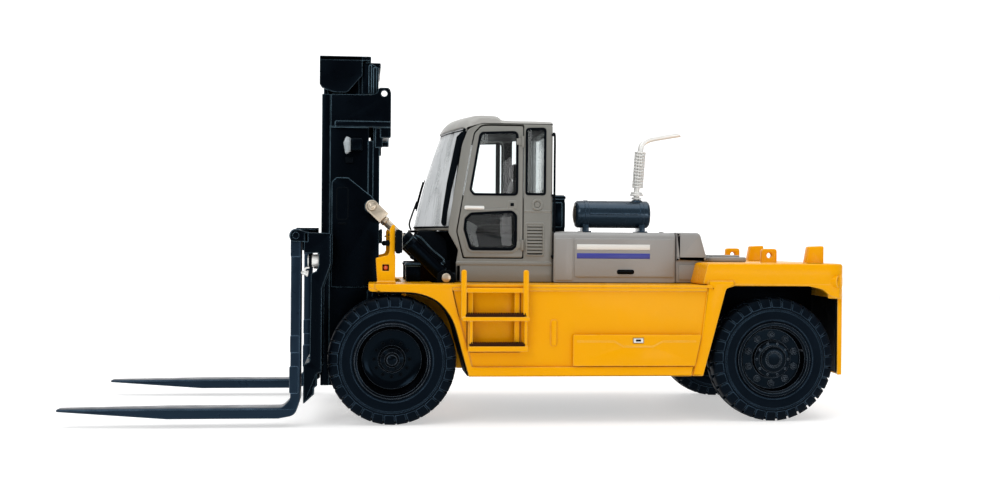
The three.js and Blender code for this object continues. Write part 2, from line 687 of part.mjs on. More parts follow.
// Each half is a channel rail, side plate with the tilt pin, top bracket and ledge, axle lug,
// and a foot and collar for the lift cylinder. Cross bars join the halves.
function outerMast() {
  const zSpan = [MAST_BOTTOM_Z, OUTER_TOP_Z];
  const rearFlangeX = [-7.8, -6.5];
  const rail = join(
    box([-17.7, -6.5], [-MAST_Y, -15.9], zSpan),
    box([-17.7, -16.4], [-MAST_Y, -15.2], zSpan),
    box(rearFlangeX, [-MAST_Y, -12.2], zSpan),
    box([-19.5, -16.6], [-17.6, -16.85], zSpan),
  );
  const bracket = cut(
    join(
      plateXZ(MAST_TOP_BRACKET, [-18.2, -16.8]),
      box([-15.8, -0.4], [-19, -17], [80.5, 82.1]),
    ),
    rodY(-2.3, 90, 0.85, [-20, -16], 10),
  );
  const axleLug = cut(
    join(box([-7.7, 0], [-11, -8], [12.6, 21.6]), rodY(0, AXLE_Z, 4.5, [-11, -8])),
    rodY(0, AXLE_Z, AXLE_BORE_R, [-12, -7]),
  );
  const collar = cut(
    box([-6.7, -3.2], [-16.6, -11.8], [84, 86]),
    rodZ(LIFT_X, -LIFT_Y, 1.5, [80, 90], 12),
  );
  const half = join(
    rail,
    plateXZ(MAST_SIDE_PLATE, [-18, -17]),
    bracket,
    rodY(TILT_ROD.x, TILT_ROD.z, 0.95, [-23.1, -17.5], 12),
    axleLug,
    collar,
    box([-6.7, -3.3], [-15, -12], [MAST_BOTTOM_Z, 9.8]),
  );
  return join(
    bothSides(half),
    ...[[MAST_BOTTOM_Z, 14], [20, 24], [66, 70]].map((z) => box(rearFlangeX, centred(16), z)),
    box([-3.2, -2], centred(17.5), [48, 52.4]),
    box([-3, -0.6], centred(17.5), [77.7, 80.3]),
    box([-3, -1.4], centred(17.5), [86, 89]),
  );
}

const liftCylinder = () =>
  cut(
    rodZ(LIFT_X, -LIFT_Y, 1.25, [9.85, 88.4], 12),
    rodZ(LIFT_X, -LIFT_Y, 0.98, [12, 90], 12),
  );

function mastLamp() {
  const head = [[-12.9, 72.6], [-13.4, 76.2], [-12.6, 77.6], [-11.3, 77.2], [-11.3, 73.4]]; // [x, z]
  return join(
    box([-11.4, -8.2], [-20.9, -17.3], [73.8, 77.2]),
    plateXZ(head, [-21.3, -17.6]),
  );
}

// Two rails with top covers and posts, joined by cross bars.
function innerMast() {
  const zSpan = [9.4, INNER_TOP_Z];
  const rearFlangeX = [-9.4, -8.4];
  const half = join(
    box([-19, -18], [-16.6, -12.6], zSpan),
    box([-18.5, -8.5], [-14.8, -13.8], zSpan),
    box(rearFlangeX, [-15.5, -12.6], zSpan),
    plateXZ(INNER_MAST_COVER, [-18, -16.4]),
    box([-8.45, -5.8], [-16.4, -14.4], [89.95, 98]),
  );
  return join(
    bothSides(half),
    box([-20.2, -6], centred(18), [99, INNER_TOP_Z]),
    box([-6.4, -3.3], centred(15.4), [97.3, 98.8]),
    box([-7.4, -6.2], centred(15.4), [97.3, 99.4]),
    ...[[10, 14], [52, 56], [91, 96]].map((z) => box(rearFlangeX, centred(14.8), z)),
  );
}

const liftRod = () => rodZ(LIFT_X, -LIFT_Y, 0.72, [36, 97.25], 12);

// ---------------------------------------------------------------- carriage and forks
// End and middle plates, open on the fork side, [x, z].
const CARRIAGE_PLATE = [
  [-23.1, 51], [-16.2, 50.8], [-16.2, 42.4], [-18.3, 36.4], [-18.3, 11], [-20.1, 10.6],
  [-20.2, 8.8], [-22.9, 6.4], [-23.1, 6.6], [-23.1, 16.5], [-22.2, 16.5], [-22.2, 40.4],
  [-20.6, 41.4], [-20.6, 45.4], [-23.1, 45.4],
];
// Shank, heel and tapered blade, [x, z].
const FORK_SIDE = [
  [-23.9, 50], [-23.9, 7.6], [-24.3, 5.6], [-25.3, 3.9], [-26.9, 2.8], [-29, 2.4], [-58, 2.4],
  [FORK_TIP_X, 4.2], [FORK_TIP_X, 4.9], [-58, 5.2], [-30, 5.2], [-28.2, 5.5], [-27, 6.4],
  [-26.5, 7.8], [-26.5, 50],
];
// Taper of the blade in plan, [x, y]; behind the taper it is wider than the fork.
const FORK_PLAN = mirroredOutline([
  [FORK_TIP_X - 1, -2.2], [-79, -FORK_W / 2 - 1e-3], [-20, -FORK_W / 2 - 1],
]);

function carriage() {
  const shaftBore = (ySpan) => rodY(SHAFT_X, SHAFT_Z, 1.12, ySpan);
  const guide = join(
    box([-22, -10.4], [-12.1, -10.8], [11, 47]),
    rodY(-13.7, 15.4, 4, [-13.4, -11.5], 14),
    rodY(-13.7, 42.5, 4, [-13.4, -11.5], 14),
  );
  const endEarY = [-40.9, -39.95];
  const endEar = cut(
    join(rodY(SHAFT_X, SHAFT_Z, 1.6, endEarY), box([SHAFT_X, -22], endEarY, [48.5, 51])),
    shaftBore([-42, -38]),
  );
  const half = join(
    plateXZ(CARRIAGE_PLATE, [-20.6, -18.5]),
    plateXZ(CARRIAGE_PLATE, [-40.9, -38.3]),
    guide,
    endEar,
  );
  const middleEar = cut(box([-26.9, -20], centred(1.1), [46.2, 52.6]), shaftBore([-2, 2]));
  return join(
    bothSides(half),
    box([-22.6, -20.5], centred(40), [45.9, 50.4]),
    box([-23.1, -20.2], centred(40), [10.8, 16.4]),
    middleEar,
  );
}

const forkShaft = () => rodY(SHAFT_X, SHAFT_Z, SHAFT_R, centred(41));

// Fork centred on Y = 0, with an eye on the shaft.
function fork() {
  const blade = plateXZ(FORK_SIDE, centred(FORK_W / 2)).intersect(plateXY(FORK_PLAN, [0, 60]));
  return cut(
    join(blade, rodY(SHAFT_X, SHAFT_Z, 1.8, centred(FORK_W / 2))),
    rodY(SHAFT_X, SHAFT_Z, 1.15, centred(FORK_W)),
  );
}

// ---------------------------------------------------------------- tilt cylinders
const TILT_DX = TILT_ROD.x - TILT_BASE.x;
const TILT_DZ = TILT_ROD.z - TILT_BASE.z;
const TILT_LENGTH = Math.hypot(TILT_DX, TILT_DZ);

// A point on the left cylinder's axis, at a distance from its base pin.
const onTilt = (distance) => [
  TILT_BASE.x + (TILT_DX / TILT_LENGTH) * distance,
  -TILT_Y,
  TILT_BASE.z + (TILT_DZ / TILT_LENGTH) * distance,
];
const aboutTilt = (half) => [-TILT_Y - half, -TILT_Y + half];

// Cross member let into the deck, with two cheeks for each base pin.
function tiltCrossMember() {
  const outline = [[12.3, 36], [12.6, 40], [13.9, 41], [15.9, 41], [17, 40], [17.3, 36]]; // [x, z]
  const outerCheek = plateXZ(outline, [-24.5, -23.3]);
  // the inner cheek has its top cut flat
  const innerCheek = plateXZ(outline, [-18.7, -17.6]).intersect(
    box([0, 30], [-20, 0], [30, 40.4]),
  );
  return cut(
    join(
      box([11.5, 17.5], centred(24.5), [35.1, 36.3]),
      bothSides(outerCheek),
      bothSides(innerCheek),
    ),
    rodY(TILT_BASE.x, TILT_BASE.z, 1.05, centred(30), 12),
  );
}

const tiltPin = () => rodY(TILT_BASE.x, TILT_BASE.z, 0.85, [-24.9, -17.3], 12);

// Barrel with a base eye, a collar at the rod end and a bore for the rod.
function tiltCylinder() {
  return cut(
    join(
      rod(onTilt(1.6), onTilt(16), 2.05),
      rodY(TILT_BASE.x, TILT_BASE.z, 1.95, aboutTilt(1.7)),
      rod(onTilt(14.4), onTilt(16.4), 2.3),
    ),
    rodY(TILT_BASE.x, TILT_BASE.z, 1.15, [-30, -10], 12),
    rod(onTilt(4), onTilt(20), 1, 12),
  );
}

// Rod ending in a block and an eye on the mast's pin.
function tiltRod() {
  const blockLength = 4.2;
  const block = new THREE.BoxGeometry(blockLength, 3.2, 3.2);
  block.translate(-blockLength / 2, 0, 0);
  block.rotateY(-Math.atan2(TILT_DZ, TILT_DX));
  block.translate(TILT_ROD.x, -TILT_Y, TILT_ROD.z);
  return cut(
    join(
      rod(onTilt(9), onTilt(TILT_LENGTH - 3.6), 0.75, 12),
      rodY(TILT_ROD.x, TILT_ROD.z, 1.75, aboutTilt(1.6)),
      solid(block),
    ),
    rodY(TILT_ROD.x, TILT_ROD.z, 1.3, [-30, -10], 12),
  );
}

// ---------------------------------------------------------------- assembly
const truck = new THREE.Group();
truck.position.x = -ORIGIN_X;

// The wheels of one axle, a group for each side. Tyres are given as [name, y] rows.
function addWheels(axleX, tyres, rimName, leftRim) {
  for (const [side, sign] of [["left", -1], ["right", 1]]) {
    const hub = addGroup(truck, [axleX, 0, AXLE_Z]);
    for (const [name, y] of tyres) {
      addPart(hub, `${name}_${side}`, tyre(), RUBBER).position.y = sign * y;
    }
    addPart(hub, `${rimName}_${side}`, sign < 0 ? leftRim : mirrored(leftRim), BLACK);
  }
}

addPart(truck, "chassis", chassis(), YELLOW);
addPart(truck, "base_plate", basePlate(), BLACK_MATT);
addPart(truck, "counterweight", counterweight(), YELLOW);
addPart(truck, "hood", hood(), GREY);
addPart(truck, "hood_rear", hoodRear(), GREY);
addPart(truck, "radiator_cover", radiatorCover(), GREY);
addPart(truck, "muffler", muffler(), BLACK);
addPart(truck, "exhaust_stack", exhaustStack(), CHROME);
addPart(truck, "air_cleaner", airCleaner(), BLACK);

addPart(truck, "cab_shell", cabShell(), GREY);
addPart(truck, "cab_roof", cabRoof(), GREY);
addPart(truck, "cab_glass", cabGlass(), CLEAR);
addPart(truck, "cab_base", cabBase(), BLACK_MATT);
addPart(truck, "driver_seat", driverSeat(), BLACK_MATT);
addPart(truck, "steering_wheel", steeringWheel(), BLACK_MATT);
addPart(truck, "wiper", wiper(), BLACK);

const doorGroup = addGroup(truck);
addPart(doorGroup, "cab_door", cabDoor(), GREY);
addPart(doorGroup, "door_glass", doorGlass(), CLEAR);

addPair(truck, "ladder", ladder(), YELLOW);
addPair(truck, "tool_box", toolBox(), YELLOW);
addPair(truck, "lamp_bracket", lampBracket(), YELLOW);
addPair(truck, "mirror", mirrorHead(), BLACK);

addPart(truck, "front_axle", frontAxle(), BLACK_MATT);
const frontTyres = [["front_tyre_outer", FRONT_OUTER_Y], ["front_tyre_inner", FRONT_INNER_Y]];
addWheels(0, frontTyres, "front_rim", frontRim());
addPart(truck, "rear_axle", rearAxle(), BLACK_MATT);
addPair(truck, "steering_knuckle", steeringKnuckle(), BLACK_MATT);
addPart(truck, "tie_rod", tieRod(), BLACK_MATT);
addWheels(WHEELBASE, [["rear_tyre", REAR_Y]], "rear_rim", rearRim());

// The carriage rides in the inner mast, and the inner mast in the outer one.
const mastGroup = addGroup(truck);
addPart(mastGroup, "outer_mast", outerMast(), BLACK);
addPair(mastGroup, "lift_cylinder", liftCylinder(), BLACK);
addPair(mastGroup, "mast_lamp", mastLamp(), BLACK);

const innerMastGroup = addGroup(mastGroup);
addPart(innerMastGroup, "inner_mast", innerMast(), BLACK);
addPair(innerMastGroup, "lift_rod", liftRod(), BLACK);

const carriageGroup = addGroup(innerMastGroup);
addPart(carriageGroup, "carriage", carriage(), BLACK);
addPart(carriageGroup, "fork_shaft", forkShaft(), STEEL);
addPart(carriageGroup, "fork_left", fork(), BLACK).position.y = -FORK_Y;
addPart(carriageGroup, "fork_right", fork(), BLACK).position.y = FORK_Y;

addPart(truck, "tilt_cross_member", tiltCrossMember(), BLACK_MATT);
addPair(truck, "tilt_pin", tiltPin(), STEEL);
addPair(truck, "tilt_cylinder", tiltCylinder(), BLACK);
addPair(truck, "tilt_rod", tiltRod(), STEEL);

export default truck;
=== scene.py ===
"""Looks for a 1:40 toy forklift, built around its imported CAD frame.

Shapes are in millimetres: X = 0 at the front axle and grows to the rear, the forks reach to -X,
left is -Y and Z is up from the floor. build() turns each finished piece into the frame's metres.
"""
import math

import bmesh
import bpy
from mathutils import Matrix, Vector


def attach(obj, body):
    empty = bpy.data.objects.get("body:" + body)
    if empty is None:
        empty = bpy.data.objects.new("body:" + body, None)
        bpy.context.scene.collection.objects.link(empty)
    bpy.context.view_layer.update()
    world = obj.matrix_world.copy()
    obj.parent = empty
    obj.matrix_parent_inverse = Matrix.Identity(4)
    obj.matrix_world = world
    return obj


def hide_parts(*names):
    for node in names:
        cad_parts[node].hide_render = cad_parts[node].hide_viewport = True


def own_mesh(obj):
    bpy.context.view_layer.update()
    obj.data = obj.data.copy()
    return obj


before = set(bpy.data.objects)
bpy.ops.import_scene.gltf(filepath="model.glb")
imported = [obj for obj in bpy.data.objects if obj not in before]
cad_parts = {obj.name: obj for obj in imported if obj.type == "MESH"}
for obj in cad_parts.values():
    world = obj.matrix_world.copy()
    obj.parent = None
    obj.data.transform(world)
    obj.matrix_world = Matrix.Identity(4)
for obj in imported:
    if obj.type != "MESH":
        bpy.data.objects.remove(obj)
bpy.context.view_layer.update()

MM = 0.001
FRAME_X = -20.0  # the front axle's place in the frame
HUB_Z = 17.1  # height of both axles
REAR_X = 104.6  # rear axle
DECK_Z = 37.5  # top of the front deck
SIDES = (-1, 1)  # left, right
AFT, ACROSS, LEFTWARD, UP = (1, 0, 0), (0, 1, 0), (0, -1, 0), (0, 0, 1)
FLIP = Matrix.Diagonal((1, -1, 1, 1))

# ------------------------------------------------------------------ materials


def linear(color):
    """8-bit sRGB to linear RGBA."""
    parts = [c / 255 for c in color]
    return tuple(c / 12.92 if c <= 0.04045 else ((c + 0.055) / 1.055) ** 2.4 for c in parts) + (1,)


class Shader:
    """A new material's node tree, with object coordinates ready."""

    def __init__(self, name, slot):
        self.material = bpy.data.materials.new(name)
        self.material.use_nodes = True
        self.tree = self.material.node_tree
        self.tree.nodes.clear()
        self.coords = self.add("TexCoord").outputs["Object"]

    def add(self, kind, inputs=None, **settings):
        """Adds a node. An input is a value, a socket, or a node whose first output is linked."""
        node = self.tree.nodes.new("ShaderNode" + kind)
        for key, value in settings.items():
            setattr(node, key, value)
        for key, value in (inputs or {}).items():
            if isinstance(value, bpy.types.Node):
                value = value.outputs[0]
            if isinstance(value, bpy.types.NodeSocket):
                self.tree.links.new(value, node.inputs[key])
            else:
                node.inputs[key].default_value = value
        return node

    def noise(self, scale, detail=2, coords=None):
        vector = coords or self.coords
        return self.add("TexNoise", {"Scale": scale, "Detail": detail, "Vector": vector})

    def remap(self, value, low, high, start=0.0, stop=1.0):
        return self.add("MapRange", {"From Min": start, "From Max": stop, "To Min": low,
                                     "To Max": high, "Value": value})

    def finish(self, surface):
        self.add("OutputMaterial", {0: surface})
        return self.material


def surface(name, slot, color, rough, metal=0.0, coat=0.0, vary=0.05, vary_scale=70, bump=0.05,
            bump_scale=1400, edge=None, edge_highlight_amount=0.5, edge_radius=0.25, spec=0.5,
            sheen=(1, 1, 1, 1)):
    """A solid finish: colour and roughness vary by `vary`; `edge` is a painted highlight colour on
    the edges.
    """
    tree = Shader(name, slot)
    shade = tree.remap(tree.noise(vary_scale, 4), 1 - vary, 1 + vary, 0.3, 0.7)
    base = tree.add("VectorMath", {0: linear(color)[:3], "Scale": shade}, operation="SCALE")
    bevel = tree.add("Bevel", {"Radius": edge_radius * MM}, samples=4)
    if edge:
        # painted highlight: an edge shows where the bevelled normal leaves the true one
        normal = tree.add("NewGeometry").outputs["Normal"]
        dot = tree.add("VectorMath", {0: bevel, 1: normal}, operation="DOT_PRODUCT")
        edge_highlight_mask = tree.remap(dot.outputs["Value"], 0, edge_highlight_amount, 0.995, 0.8)
        patchy_edge_highlight = tree.add("Math", {0: edge_highlight_mask, 1: tree.noise(260, 3)}, operation="MULTIPLY")
        mix = tree.add("Mix", {"Factor": patchy_edge_highlight, "A": base, "B": linear(edge)}, data_type="RGBA")
        base = mix.outputs["Result"]
    spread = 0.08
    roughness = tree.remap(tree.noise(vary_scale * 3.3, 5), max(0.02, rough - spread),
                           min(1.0, rough + spread), 0.3, 0.7)
    relief = tree.add("Bump", {"Strength": bump, "Distance": 0.0002,
                               "Height": tree.noise(bump_scale), "Normal": bevel})
    return tree.finish(tree.add("BsdfPrincipled", {
        "Base Color": base, "Roughness": roughness, "Metallic": metal, "Specular IOR Level": spec,
        "Specular Tint": sheen, "Coat Weight": coat, "Coat Roughness": 0.12, "Normal": relief}))


def glass(name, opacity, painted_glare=0.0):
    """Clear plastic: `opacity` is the reflection seen face on, `painted_glare` the strength of a
    painted white reflection in upright streaks.
    """
    tree = Shader(name, "clear")
    clear = tree.add("BsdfTransparent", {0: (0.96, 0.98, 0.98, 1)})
    relief = tree.add("Bump", {"Strength": 0.06, "Distance": 0.001, "Height": tree.noise(45)})
    gloss = tree.add("BsdfGlossy", {"Roughness": 0.03, "Normal": relief})
    facing = tree.remap(tree.add("LayerWeight", {"Blend": 0.25}), opacity, 0.75)
    last = tree.add("MixShader", {0: facing, 1: clear, 2: gloss})
    if painted_glare:
        # painted reflection: soft upright streaks of glowing white, standing in for the white
        # reflection on the glass
        upright = tree.add("Mapping", {"Vector": tree.coords, "Scale": (1, 1, 0.06)}).outputs[0]
        glare_streaks = tree.remap(tree.noise(420, coords=upright), painted_glare * 0.3, painted_glare, 0.4, 0.5)
        glare_glow = tree.add("Emission", {0: (0.9, 0.92, 0.94, 1), 1: 0.95})
        glare_translucent = tree.add("BsdfTranslucent", {0: (0.92, 0.93, 0.94, 1)})
        glare_mix = tree.add("MixShader", {0: 0.5, 1: glare_glow, 2: glare_translucent})
        last = tree.add("MixShader", {0: glare_streaks, 1: last, 2: glare_mix})
    return tree.finish(last)


ENAMEL = dict(vary=0.03, bump=0.06, spec=0.4)
COOL = dict(sheen=(0.35, 0.65, 1.0, 1.0))  # bluish highlights on the blacks

# The `edge` colours below are painted highlights along the edges.
YELLOW = surface("yellow_enamel", "yellow_paint", (229, 158, 0), rough=0.28, coat=0.05, vary=0.02,
                 bump=0.02, edge=(255, 226, 140), edge_highlight_amount=0.95, edge_radius=0.32, spec=0.05)
GREY = surface("grey_enamel", "grey_paint", (138, 138, 137), rough=0.42, coat=0.1,
               edge=(196, 192, 184), edge_highlight_amount=0.6, **ENAMEL)
CAB = surface("cab_enamel", "grey_paint", (118, 118, 113), rough=0.42, coat=0.1,
              edge=(190, 188, 178), edge_highlight_amount=0.7, **ENAMEL)
# Lighter than the cab grey, standing in for the light on the roof top: painted highlight.
ROOF_LIT = surface("roof_lit_enamel", "grey_paint", (156, 155, 151), rough=0.4, coat=0.12,
               edge=(210, 210, 205), **ENAMEL)
BLACK = surface("black_satin", "black_paint", (1.5, 2, 4), rough=0.3, vary=0.15,
                edge=(140, 176, 196), edge_highlight_amount=1.0, edge_radius=0.3, spec=0.06, **COOL)
# Base colour tinted blue: painted sheen of the bluish light on the black forks.
FORKS = surface("fork_satin", "black_paint", (11, 18, 28), rough=0.33, vary=0.15, bump=0.08,
                edge=(120, 150, 176), edge_highlight_amount=1.0, edge_radius=0.3, spec=0.35, **COOL)
PLASTIC = surface("black_plastic", "black_plastic", (6, 6, 7), rough=0.6, vary=0.15, bump=0.14,
                  bump_scale=2600, edge=(60, 66, 72), edge_highlight_amount=0.6, edge_radius=0.15,
                  spec=0.06, **COOL)
GLOSSY = surface("black_gloss", "black_paint", (2, 2.5, 4), rough=0.16, vary=0.1, bump=0.02,
                 edge=(150, 164, 178), edge_highlight_amount=1.0, edge_radius=0.2, spec=0.09, **COOL)
# Base colour tinted blue: painted sheen of the bluish light on the black tyres.
RUBBER = surface("tyre_rubber", "rubber_tyre", (4, 7, 13), rough=0.5, vary=0.35, bump=0.3,
                 bump_scale=2600, edge=(88, 114, 136), edge_highlight_amount=1.0, spec=0.08, **COOL)
# Base colour tinted blue: painted sheen of the bluish light on the black silencer.
SILENCER = surface("silencer_black", "black_paint", (12, 24, 33), rough=0.3, coat=0.3, vary=0.12,
                   bump=0.07, edge=(80, 100, 120), edge_highlight_amount=0.7, **COOL)
BRIGHT = surface("bright_plating", "bright_metal", (226, 226, 223), rough=0.38, metal=0.45,
                 vary=0.06, edge=(245, 245, 242), edge_highlight_amount=0.3)
STEEL = surface("satin_nickel", "steel", (196, 184, 166), rough=0.33, metal=0.9, vary=0.1,
                bump=0.1, edge=(232, 228, 220), edge_highlight_amount=0.4)
TREAD = surface("tread_brown", "black_plastic", (42, 20, 8), rough=0.6, vary=0.15, bump=0.2,
                edge=(96, 60, 26), edge_highlight_amount=0.6, spec=0.06)
WHITE = surface("white_paint", "yellow_paint", (214, 216, 214), rough=0.4, vary=0.02, bump=0.04)
BLUE = surface("blue_paint", "grey_paint", (44, 52, 146), rough=0.4, bump=0.04)
LENS = surface("lamp_lens", "clear", (150, 158, 162), rough=0.18, coat=0.5, vary=0.2,
               vary_scale=900, bump=0.25, bump_scale=1800)
LAMP = surface("lamp_recess", "clear", (96, 26, 8), rough=0.25, coat=0.4, vary=0.1, bump=0.1)
AMBER = surface("amber_lens", "clear", (200, 70, 14), rough=0.2, coat=0.6, bump=0.15)
SEAT = surface("seat_vinyl", "black_plastic", (14, 14, 15), rough=0.55, vary=0.15, bump=0.3,
               bump_scale=1800, edge=(60, 60, 64), edge_highlight_amount=0.4, spec=0.2)
CLEAR = glass("clear_plastic", opacity=0.015)
# The windscreen carries a painted reflection in glowing white streaks.
SCREEN = glass("windscreen_plastic", opacity=0.045, painted_glare=0.62)

# ------------------------------------------------------------------ outline helpers


def clamp(value):
    return max(0.0, min(1.0, value))


def fillet(points, radius, steps=4):
    """Rounds a polygon's corners. A point may carry its own radius as a third value."""
    rounded = []
    for i, point in enumerate(points):
        corner = Vector(point[:2])
        before = Vector(points[i - 1][:2]) - corner
        after = Vector(points[(i + 1) % len(points)][:2]) - corner
        own = point[2] if len(point) > 2 else radius
        shortest = min(before.length, after.length)
        if own <= 0 or shortest < 1e-6:
            rounded.append(tuple(corner))
            continue
        before.normalize()
        after.normalize()
        angle = before.angle(after)
        if angle > math.radians(176) or angle < 0.02:
            rounded.append(tuple(corner))
            continue
        cut = min(own / math.tan(angle / 2), shortest * 0.48)
        start, end = corner + before * cut, corner + after * cut
        for j in range(steps + 1):
            t = j / steps
            rounded.append(tuple(start * (1 - t) ** 2 + corner * (2 * t * (1 - t)) + end * t**2))
    return rounded


def round_rect(x0, x1, y0, y1, radius, steps=4):
    return fillet([(x0, y0), (x1, y0), (x1, y1), (x0, y1)], radius, steps)


def smooth(points, steps=4):
    """Catmull-Rom curve through the points."""
    knots = [Vector(point) for point in points]
    last = len(knots) - 1
    curve = []
    for i in range(last):
        before, start, end = knots[max(i - 1, 0)], knots[i], knots[i + 1]
        after = knots[min(i + 2, last)]
        for j in range(steps):
            t = j / steps
            curve.append(0.5 * ((2 * start) + (end - before) * t
                                + (2 * before - 5 * start + 4 * end - after) * t * t
                                + (3 * start - before - 3 * end + after) * t**3))
    return [tuple(point) for point in curve + [knots[-1]]]


def grow(points, distance):
    """Offsets a polygon outwards."""
    area = sum(a[0] * b[1] - b[0] * a[1] for a, b in zip([points[-1]] + points, points))
    turn = 1 if area > 0 else -1
    grown = []
    for i, point in enumerate(points):
        corner = Vector(point[:2])
        arrive = (corner - Vector(points[i - 1][:2])).normalized()
        leave = (Vector(points[(i + 1) % len(points)][:2]) - corner).normalized()
        normal = Vector((arrive.y, -arrive.x)) * turn
        miter = normal + Vector((leave.y, -leave.x)) * turn
        miter = miter / max(0.3, miter.dot(normal)) if miter.length > 1e-6 else normal
        grown.append(tuple(corner + miter * distance))
    return grown


def circle(x, y, radius, steps):
    turns = [2 * math.pi * i / steps for i in range(steps)]
    return [(x + radius * math.cos(turn), y + radius * math.sin(turn)) for turn in turns]


# ------------------------------------------------------------------ solids

PLANES = {
    "XZ": Matrix(((1, 0, 0, 0), (0, 0, -1, 0), (0, 1, 0, 0), (0, 0, 0, 1))),  # local z is -Y
    "XY": Matrix.Identity(4),
    "YZ": Matrix(((0, 0, 1, 0), (1, 0, 0, 0), (0, 1, 0, 0), (0, 0, 0, 1))),
}
NORMAL = {"XZ": Vector(ACROSS), "XY": Vector(UP), "YZ": Vector(AFT)}


class Piece:
    """The mesh of one object, gathered from several solids."""

    def __init__(self):
        self.mesh = bmesh.new()

    def add(self, solid):
        data = bpy.data.meshes.new("t")
        solid.to_mesh(data)
        solid.free()
        self.mesh.from_mesh(data)
        bpy.data.meshes.remove(data)

    def add_outward(self, solid):
        bmesh.ops.recalc_face_normals(solid, faces=solid.faces)
        self.add(solid)

    def box(self, x0, x1, y0, y1, z0, z1, bevel=0.2, steps=2):
        y0, y1 = sorted((y0, y1))
        low, high = Vector((x0, y0, z0)), Vector((x1, y1, z1))
        size = high - low
        solid = bmesh.new()
        bmesh.ops.create_cube(solid, size=1)
        for vert in solid.verts:
            vert.co = (low + high) / 2 + vert.co * size.to_3d() if False else Vector(
                (a + b) / 2 + unit * (b - a)
                for a, b, unit in ((x0, x1, vert.co.x), (y0, y1, vert.co.y), (z0, z1, vert.co.z)))
        width = min(bevel, 0.45 * min(size))
        bmesh.ops.bevel(solid, geom=list(solid.edges), offset=width, segments=steps, profile=0.5,
                        affect="EDGES", clamp_overlap=True)
        self.add(solid)

    def boxes(self, *rows):
        """Each row holds the arguments of one box."""
        for row in rows:
            self.box(*row)

    def plate(self, outer, near, far, holes=(), bevel=0.2, shape=None, plane="XZ"):
        """A flat plate, bevelled all round, from near to far along the plane's normal."""
        thick = abs(far - near)
        bevel = min(bevel, thick * 0.45)
        curve = bpy.data.curves.new("t", "CURVE")
        curve.dimensions = "2D"
        curve.fill_mode = "BOTH"
        curve.extrude = thick / 2 - bevel
        curve.bevel_depth = bevel
        curve.bevel_resolution = 1
        curve.offset = -bevel
        for outline in [outer, *holes]:
            spline = curve.splines.new("POLY")
            spline.points.add(len(outline) - 1)
            for place, point in zip(spline.points, outline):
                place.co = (point[0], point[1], 0, 1)
            spline.use_cyclic_u = True
        holder = bpy.data.objects.new("t", curve)
        data = bpy.data.meshes.new_from_object(holder)
        bpy.data.objects.remove(holder)
        bpy.data.curves.remove(curve)
        solid = bmesh.new()
        solid.from_mesh(data)
        bpy.data.meshes.remove(data)
        bmesh.ops.remove_doubles(solid, verts=solid.verts, dist=1e-4)
        bmesh.ops.recalc_face_normals(solid, faces=solid.faces)
        middle = Matrix.Translation(NORMAL[plane] * ((near + far) / 2))
        bmesh.ops.transform(solid, matrix=middle @ PLANES[plane], verts=solid.verts)
        if shape:
            for vert in solid.verts:
                shape(vert)
        self.add_outward(solid)

    def revolve(self, profile, origin, axis, steps, closed=False, start=0.0):
        """(radius, along) pairs turned about an axis; radius 0 closes on the axis."""
        solid = bmesh.new()
        axis = Vector(axis).normalized()
        across = axis.orthogonal().normalized()
        third = axis.cross(across)
        turns = [start + 2 * math.pi * i / steps for i in range(steps)]
        rings = []
        for radius, along in profile:
            centre = Vector(origin) + axis * along
            if radius < 1e-6:
                rings.append([solid.verts.new(centre)])
            else:
                rings.append([solid.verts.new(
                    centre + (across * math.cos(turn) + third * math.sin(turn)) * radius)
                    for turn in turns])
        pairs = list(zip(rings, rings[1:])) + ([(rings[-1], rings[0])] if closed else [])
        for a, b in pairs:
            for i in range(steps):
                j = (i + 1) % steps
                # a ring on the axis has one point, which makes triangles
                corners = dict.fromkeys((a[i % len(a)], b[i % len(b)], b[j % len(b)],
                                         a[j % len(a)]))
                if len(corners) > 2:
                    solid.faces.new(tuple(corners))
        self.add_outward(solid)

    def rod(self, start, end, radius, steps=20, chamfer=None):
        axis = Vector(end) - Vector(start)
        length = axis.length
        cut = min(0.18 * radius, length * 0.2) if chamfer is None else chamfer
        half = [(0, 0), (radius - cut, 0), (radius - cut * 0.3, cut * 0.3), (radius, cut)]
        self.revolve(half + [(r, length - h) for r, h in reversed(half)], start, axis, steps)

    def ring(self, centre, axis, inner, outer, width, steps=24):
        cut = min(0.12, (outer - inner) * 0.25, width * 0.25)
        end = width / 2
        self.revolve([(inner, cut - end), (inner + cut, -end), (outer - cut, -end),
                      (outer, cut - end), (outer, end - cut), (outer - cut, end),
                      (inner + cut, end), (inner, end - cut)], centre, axis, steps, closed=True)

    def stud(self, origin, axis, radius, top, shoulder, height, steps, start=0.0):
        """A short stub that narrows from radius to top above its shoulder."""
        self.revolve([(0, 0), (radius, 0), (radius, shoulder), (top, height), (0, height)],
                     origin, axis, steps, start=start)

    def hexnut(self, origin, axis, radius, height, start=0.0):
        self.stud(origin, axis, radius, radius * 0.86, height - 0.15 * height, height, 6, start)

    def tube(self, path, radius, steps=12, end_shear=0.0):
        """A tube along a path; a list of radii gives one for each point."""
        points = [Vector(point) for point in path]
        last = len(points) - 1
        tangents = [(points[min(i + 1, last)] - points[max(i - 1, 0)]).normalized()
                    for i in range(last + 1)]
        across = tangents[0].orthogonal().normalized()
        rings = []
        for i, (point, tangent) in enumerate(zip(points, tangents)):
            across = (across - tangent * across.dot(tangent)).normalized()
            third = tangent.cross(across)
            size = radius[i] if isinstance(radius, list) else radius
            ring = []
            for j in range(steps):
                turn = 2 * math.pi * j / steps
                out = across * math.cos(turn) * size + third * math.sin(turn) * size
                shear = tangent * out.z * end_shear if i == last else Vector()
                ring.append(point + out + shear)
            rings.append(ring)
        self.loft(rings)

